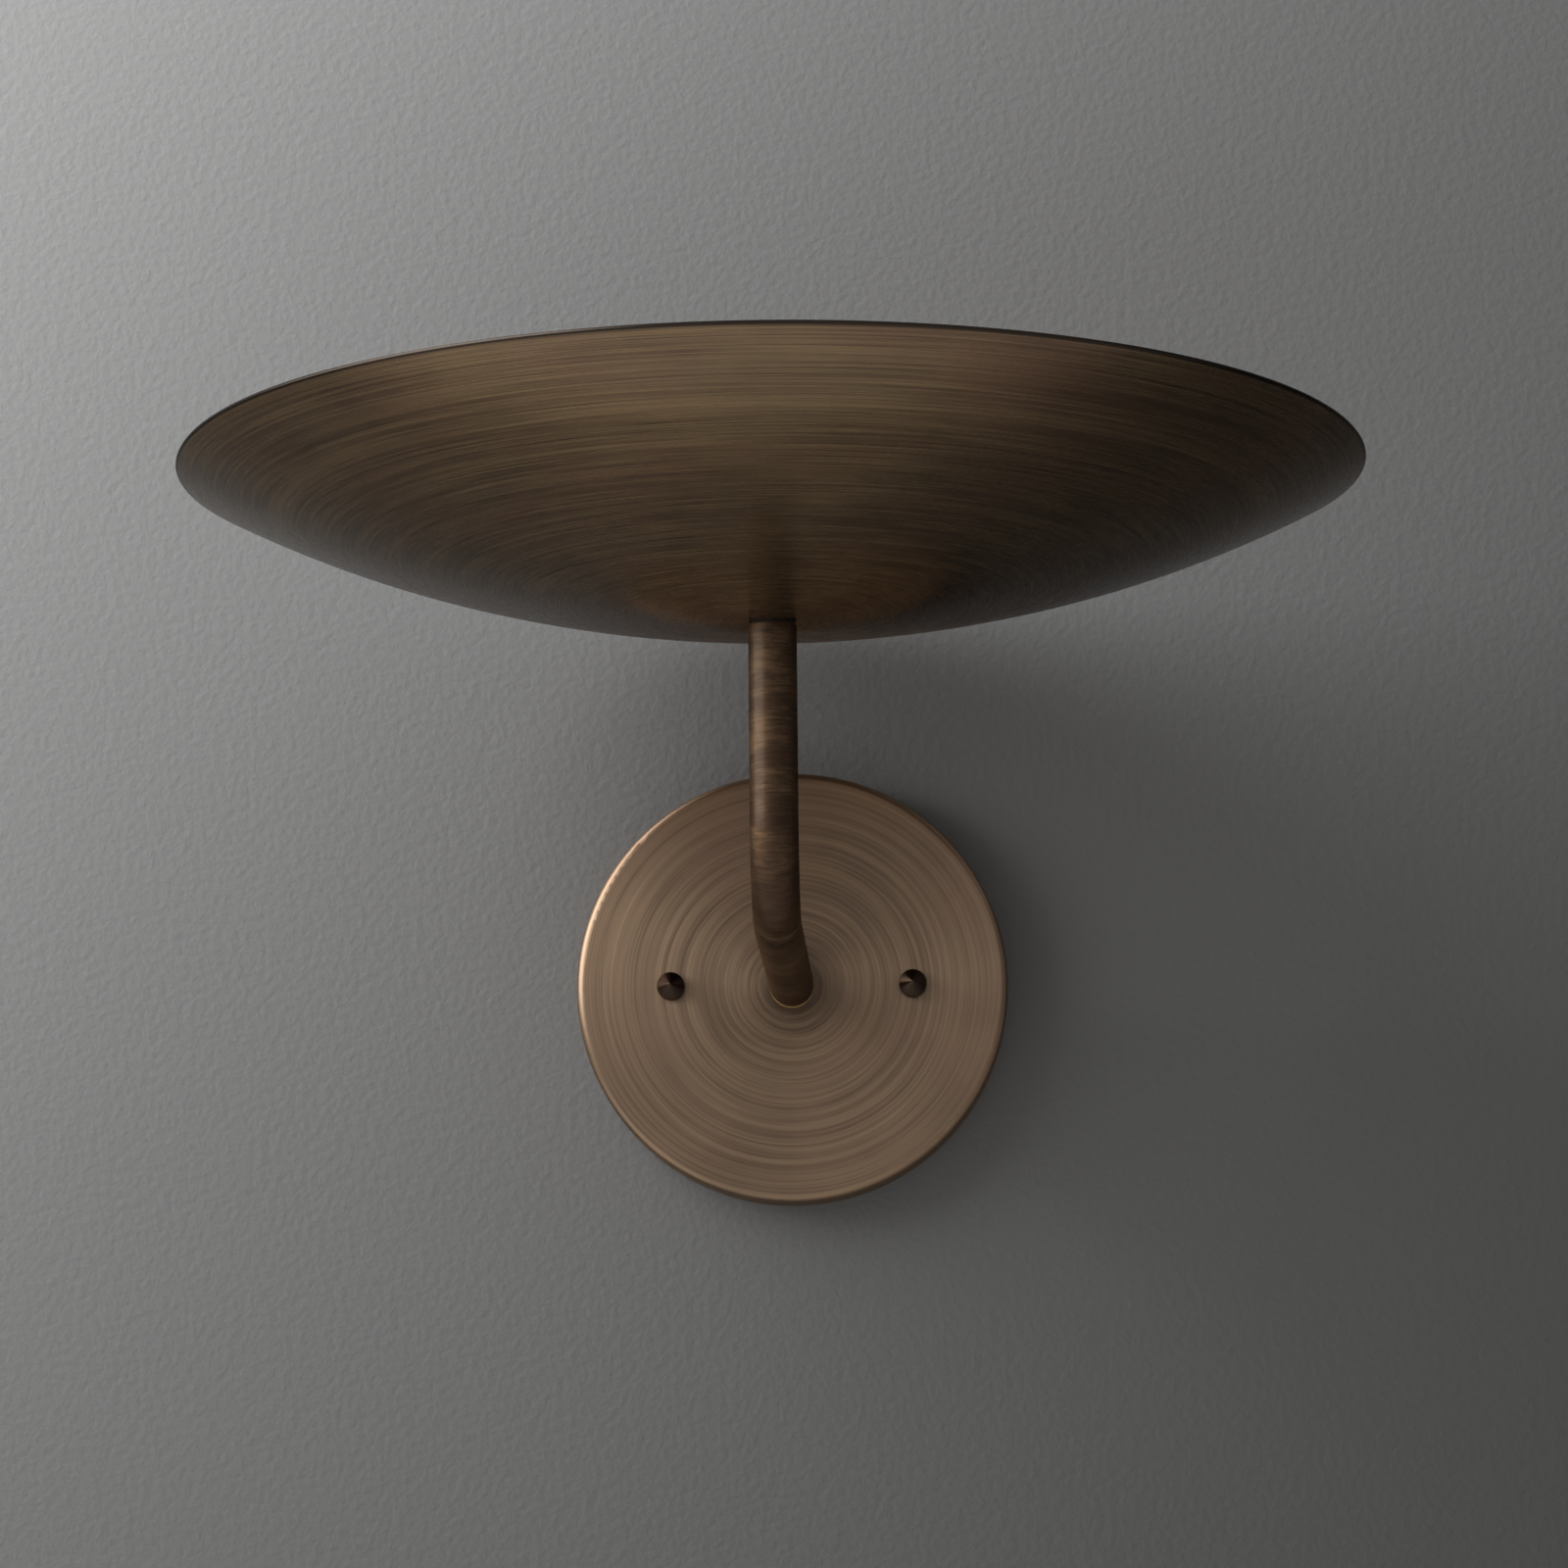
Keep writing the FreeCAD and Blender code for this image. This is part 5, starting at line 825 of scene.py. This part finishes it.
GLASS = [(0.0, 55.24), (8.1, 55.24, 0.3), (8.1, 55.74), (GLASS_RADIUS, 58.24, 2.0), *dome(GLASS_RADIUS, GLASS_TOP),
         *dome(GLASS_RADIUS - GLASS_SHEET, GLASS_TOP - GLASS_SHEET)[::-1], (GLASS_RADIUS - GLASS_SHEET, 58.64, 2.0),
         (7.3, 56.14), (7.3, 56.04), (0.0, 56.04)]
STEM = [(0.0, 56.04), (3.0, 56.04, 0.3), (1.8, 60.04, 3.0), (1.8, 71.04, 0.8), (0.0, 71.04)]
LOOP = [(0, -1.1, 71.14), (0, -3.2, 77.14), (0, -3.2, 93.14), (0, 3.2, 93.14), (0, 3.2, 77.14), (0, 1.1, 71.14)]


def filament():
    """Two plain supports from the glass stem, and a coil that hangs between them."""
    supports = [grow(WIRE, line_seed(run), wire_radius=0.25, corner_radius=2.0, coil_radius=0.0, coil_pitch=1.0,
                     step=0.6, sides=8) for run in (LOOP[:2], LOOP[:-3:-1])]
    coil = grow(WIRE, line_seed(LOOP[1:-1]), wire_radius=0.08, corner_radius=2.4, coil_radius=0.26, coil_pitch=0.5,
                step=0.06, sides=5)
    return joined(coil, *supports)


for name, side in (("left", -1), ("right", 1)):
    for piece, node, mesh in (
        ("porcelain_holder_", "lampholder_", turned(PORCELAIN, segments=96)),
        ("threaded_shell_", "screw_shell_", turned(SHELL, pitch=LAMP_PITCH, depth=0.4)),
        ("sprung_contact_", "centre_contact_", turned(CONTACT)),
        ("threaded_base_", "lamp_base_", turned(BASE, segments=72, pitch=LAMP_PITCH, depth=0.5)),
        ("base_insulator_", "lamp_insulator_", turned(INSULATOR)),
        ("solder_tip_", "lamp_tip_", turned(TIP)),
        ("tubular_glass_", "lamp_glass_", turned(GLASS, segments=96)),
        ("glass_stem_", "lamp_stem_", turned(STEM, segments=48)),
        ("coiled_filament_", "lamp_filament_", filament()),
    ):
        dressed(piece + name, node + name, mesh, along_lamp(side))

# Every other solid keeps its own shape and gets its slot's finish.
for node, slot in SLOTS.items():
    NODES[node].material_slots[0].material = FINISH[slot]


# ---- camera, wall, floor and light, in metres
def aimed(name, data, eye, target, roll=0.0):
    """A camera or lamp that looks from one place to another, turned by roll about its own view."""
    forward = (Vector(target) - Vector(eye)).normalized()
    right = forward.cross(Vector((0, 0, 1))).normalized()
    turn = Matrix((right, right.cross(forward), -forward)).transposed() @ Matrix.Rotation(roll, 3, "Z")
    thing = placed(name, data)
    thing.matrix_world = Matrix.Translation(eye) @ turn.to_4x4()
    return thing


# The photograph's camera: a long lens, from below the dish.
camera = aimed("camera", bpy.data.cameras.new("camera"), eye=(0.038322, -1.367552, -0.167518),
               target=(-0.00224, 0.0, 0.061825), roll=-0.009)
camera.data.lens = 108.0
camera.data.sensor_width = 36.0
bpy.context.scene.camera = camera


def one_sided(tree, surface):
    """Ends a material that is clear from behind, so that the fixture can be looked at through it."""
    back = add(tree, "ShaderNodeNewGeometry").outputs["Backfacing"]
    mixed = add(tree, "ShaderNodeMixShader", {0: back, 1: surface, 2: add(tree, "ShaderNodeBsdfTransparent")})
    add(tree, "ShaderNodeOutputMaterial", {"Surface": mixed})


def painted_plaster(rise=1.36, run=-1.23, most=0.9, roller_scale=420.0):
    """Painted plaster, roller-textured 2.4 mm from bump to bump, with painted shade darkening it to the lower right.

    rise and run are how fast the grey's logarithm grows upwards and to the right; most is where it stops.
    """
    material, tree = new_material("painted_plaster")
    coords = add(tree, "ShaderNodeTexCoord").outputs["Object"]
    place = add(tree, "ShaderNodeSeparateXYZ", {0: coords}).outputs
    # Painted shade: the grey darkens towards the lower right, as the lamp's light falls off.
    rightward = add(tree, "ShaderNodeMath", {0: place["X"], 1: run}, operation="MULTIPLY")
    upward = add(tree, "ShaderNodeMath", {0: place["Z"], 1: rise, 2: rightward}, operation="MULTIPLY_ADD")
    kept_in = add(tree, "ShaderNodeClamp", {0: upward, "Min": -most, "Max": most})
    painted_falloff = add(tree, "ShaderNodeMath", {0: kept_in}, operation="EXPONENT")
    grey = add(tree, "ShaderNodeVectorMath", {0: srgb("#646464")[:3], "Scale": painted_falloff}, operation="SCALE")
    roller = add(tree, "ShaderNodeTexNoise", {"Vector": coords, "Scale": roller_scale, "Detail": 3.0})
    one_sided(tree, add(tree, "ShaderNodeBsdfPrincipled", {
        "Base Color": grey, "Roughness": 0.8,
        "Normal": add(tree, "ShaderNodeBump", {"Height": roller, "Strength": 0.6, "Distance": 0.5 * MM})}))
    return material


def painted_floor():
    """A pale painted floor, matt and faintly cloudy, below the picture: the front of the dish mirrors it."""
    material, tree = new_material("pale_floor")
    coords = add(tree, "ShaderNodeTexCoord").outputs["Object"]
    cloud = add(tree, "ShaderNodeTexNoise", {"Vector": coords, "Scale": 30.0, "Detail": 3.0})
    paint = add(tree, "ShaderNodeMix", {0: cloud, 6: srgb("#cdcbc7"), 7: srgb("#d6d4d0")}, data_type="RGBA")
    one_sided(tree, add(tree, "ShaderNodeBsdfPrincipled", {"Base Color": paint, "Roughness": 0.7}))
    return material


def backdrop(name, points, faces, material):
    """A flat piece of the studio, which isn't part of the object."""
    mesh = bpy.data.meshes.new(name)
    mesh.from_pydata(points, [], faces)
    mesh.materials.append(material)
    placed(name, mesh)


# The wall has a round hole behind the canopy for its junction box.
WALL_HALF_WIDTH = 2.5
WALL_TOP = 2.0
FLOOR = -0.40
BOX_HOLE = 0.060
WALL_GAP = 0.0004
around = 96
points, faces = [], []
for i in range(around):
    angle = TURN * (i + 0.5) / around
    ray = Vector((math.cos(angle), math.sin(angle)))
    height = WALL_TOP if ray.y > 0 else -FLOOR
    reach = min(WALL_HALF_WIDTH / abs(ray.x), height / abs(ray.y))
    points += [(size * ray.x, WALL_GAP, size * ray.y) for size in (BOX_HOLE, reach)]
    a, b = 2 * i, 2 * ((i + 1) % around)
    faces.append((a, a + 1, b + 1, b))
backdrop("wall", points, faces, painted_plaster())
floor_corners = [(x, y, FLOOR) for x, y in ((-4, -5), (4, -5), (4, 3), (-4, 3))]
backdrop("floor", floor_corners, [(0, 1, 2, 3)], painted_floor())

# A soft room, lighter on the left, where its window is.
world = bpy.data.worlds.new("soft_room")
bpy.context.scene.world = world
world.use_nodes = True
room = world.node_tree
room.nodes.clear()
facing = add(room, "ShaderNodeTexCoord").outputs["Generated"]
sideways = add(room, "ShaderNodeSeparateXYZ", {0: facing}).outputs["X"]
share = add(room, "ShaderNodeMapRange", {0: sideways, 1: -1.0, 2: 1.0})
grey = add(room, "ShaderNodeMix", {0: share, 6: srgb("#e0e0e0"), 7: srgb("#8a8a8a")}, data_type="RGBA")
add(room, "ShaderNodeOutputWorld", {0: add(room, "ShaderNodeBackground", {"Color": grey, "Strength": 1.0})})

# One square lamp in a soft box at the upper left, which the camera doesn't see.
lamp = bpy.data.lights.new("key", "AREA")
lamp.shape = "SQUARE"
lamp.size = 1.24
lamp.energy = 26.0
aimed("key", lamp, eye=(-0.87, -0.39, 0.61), target=(0.0, -0.08, 0.05)).visible_camera = False

bpy.context.scene.view_settings.view_transform = "Standard"
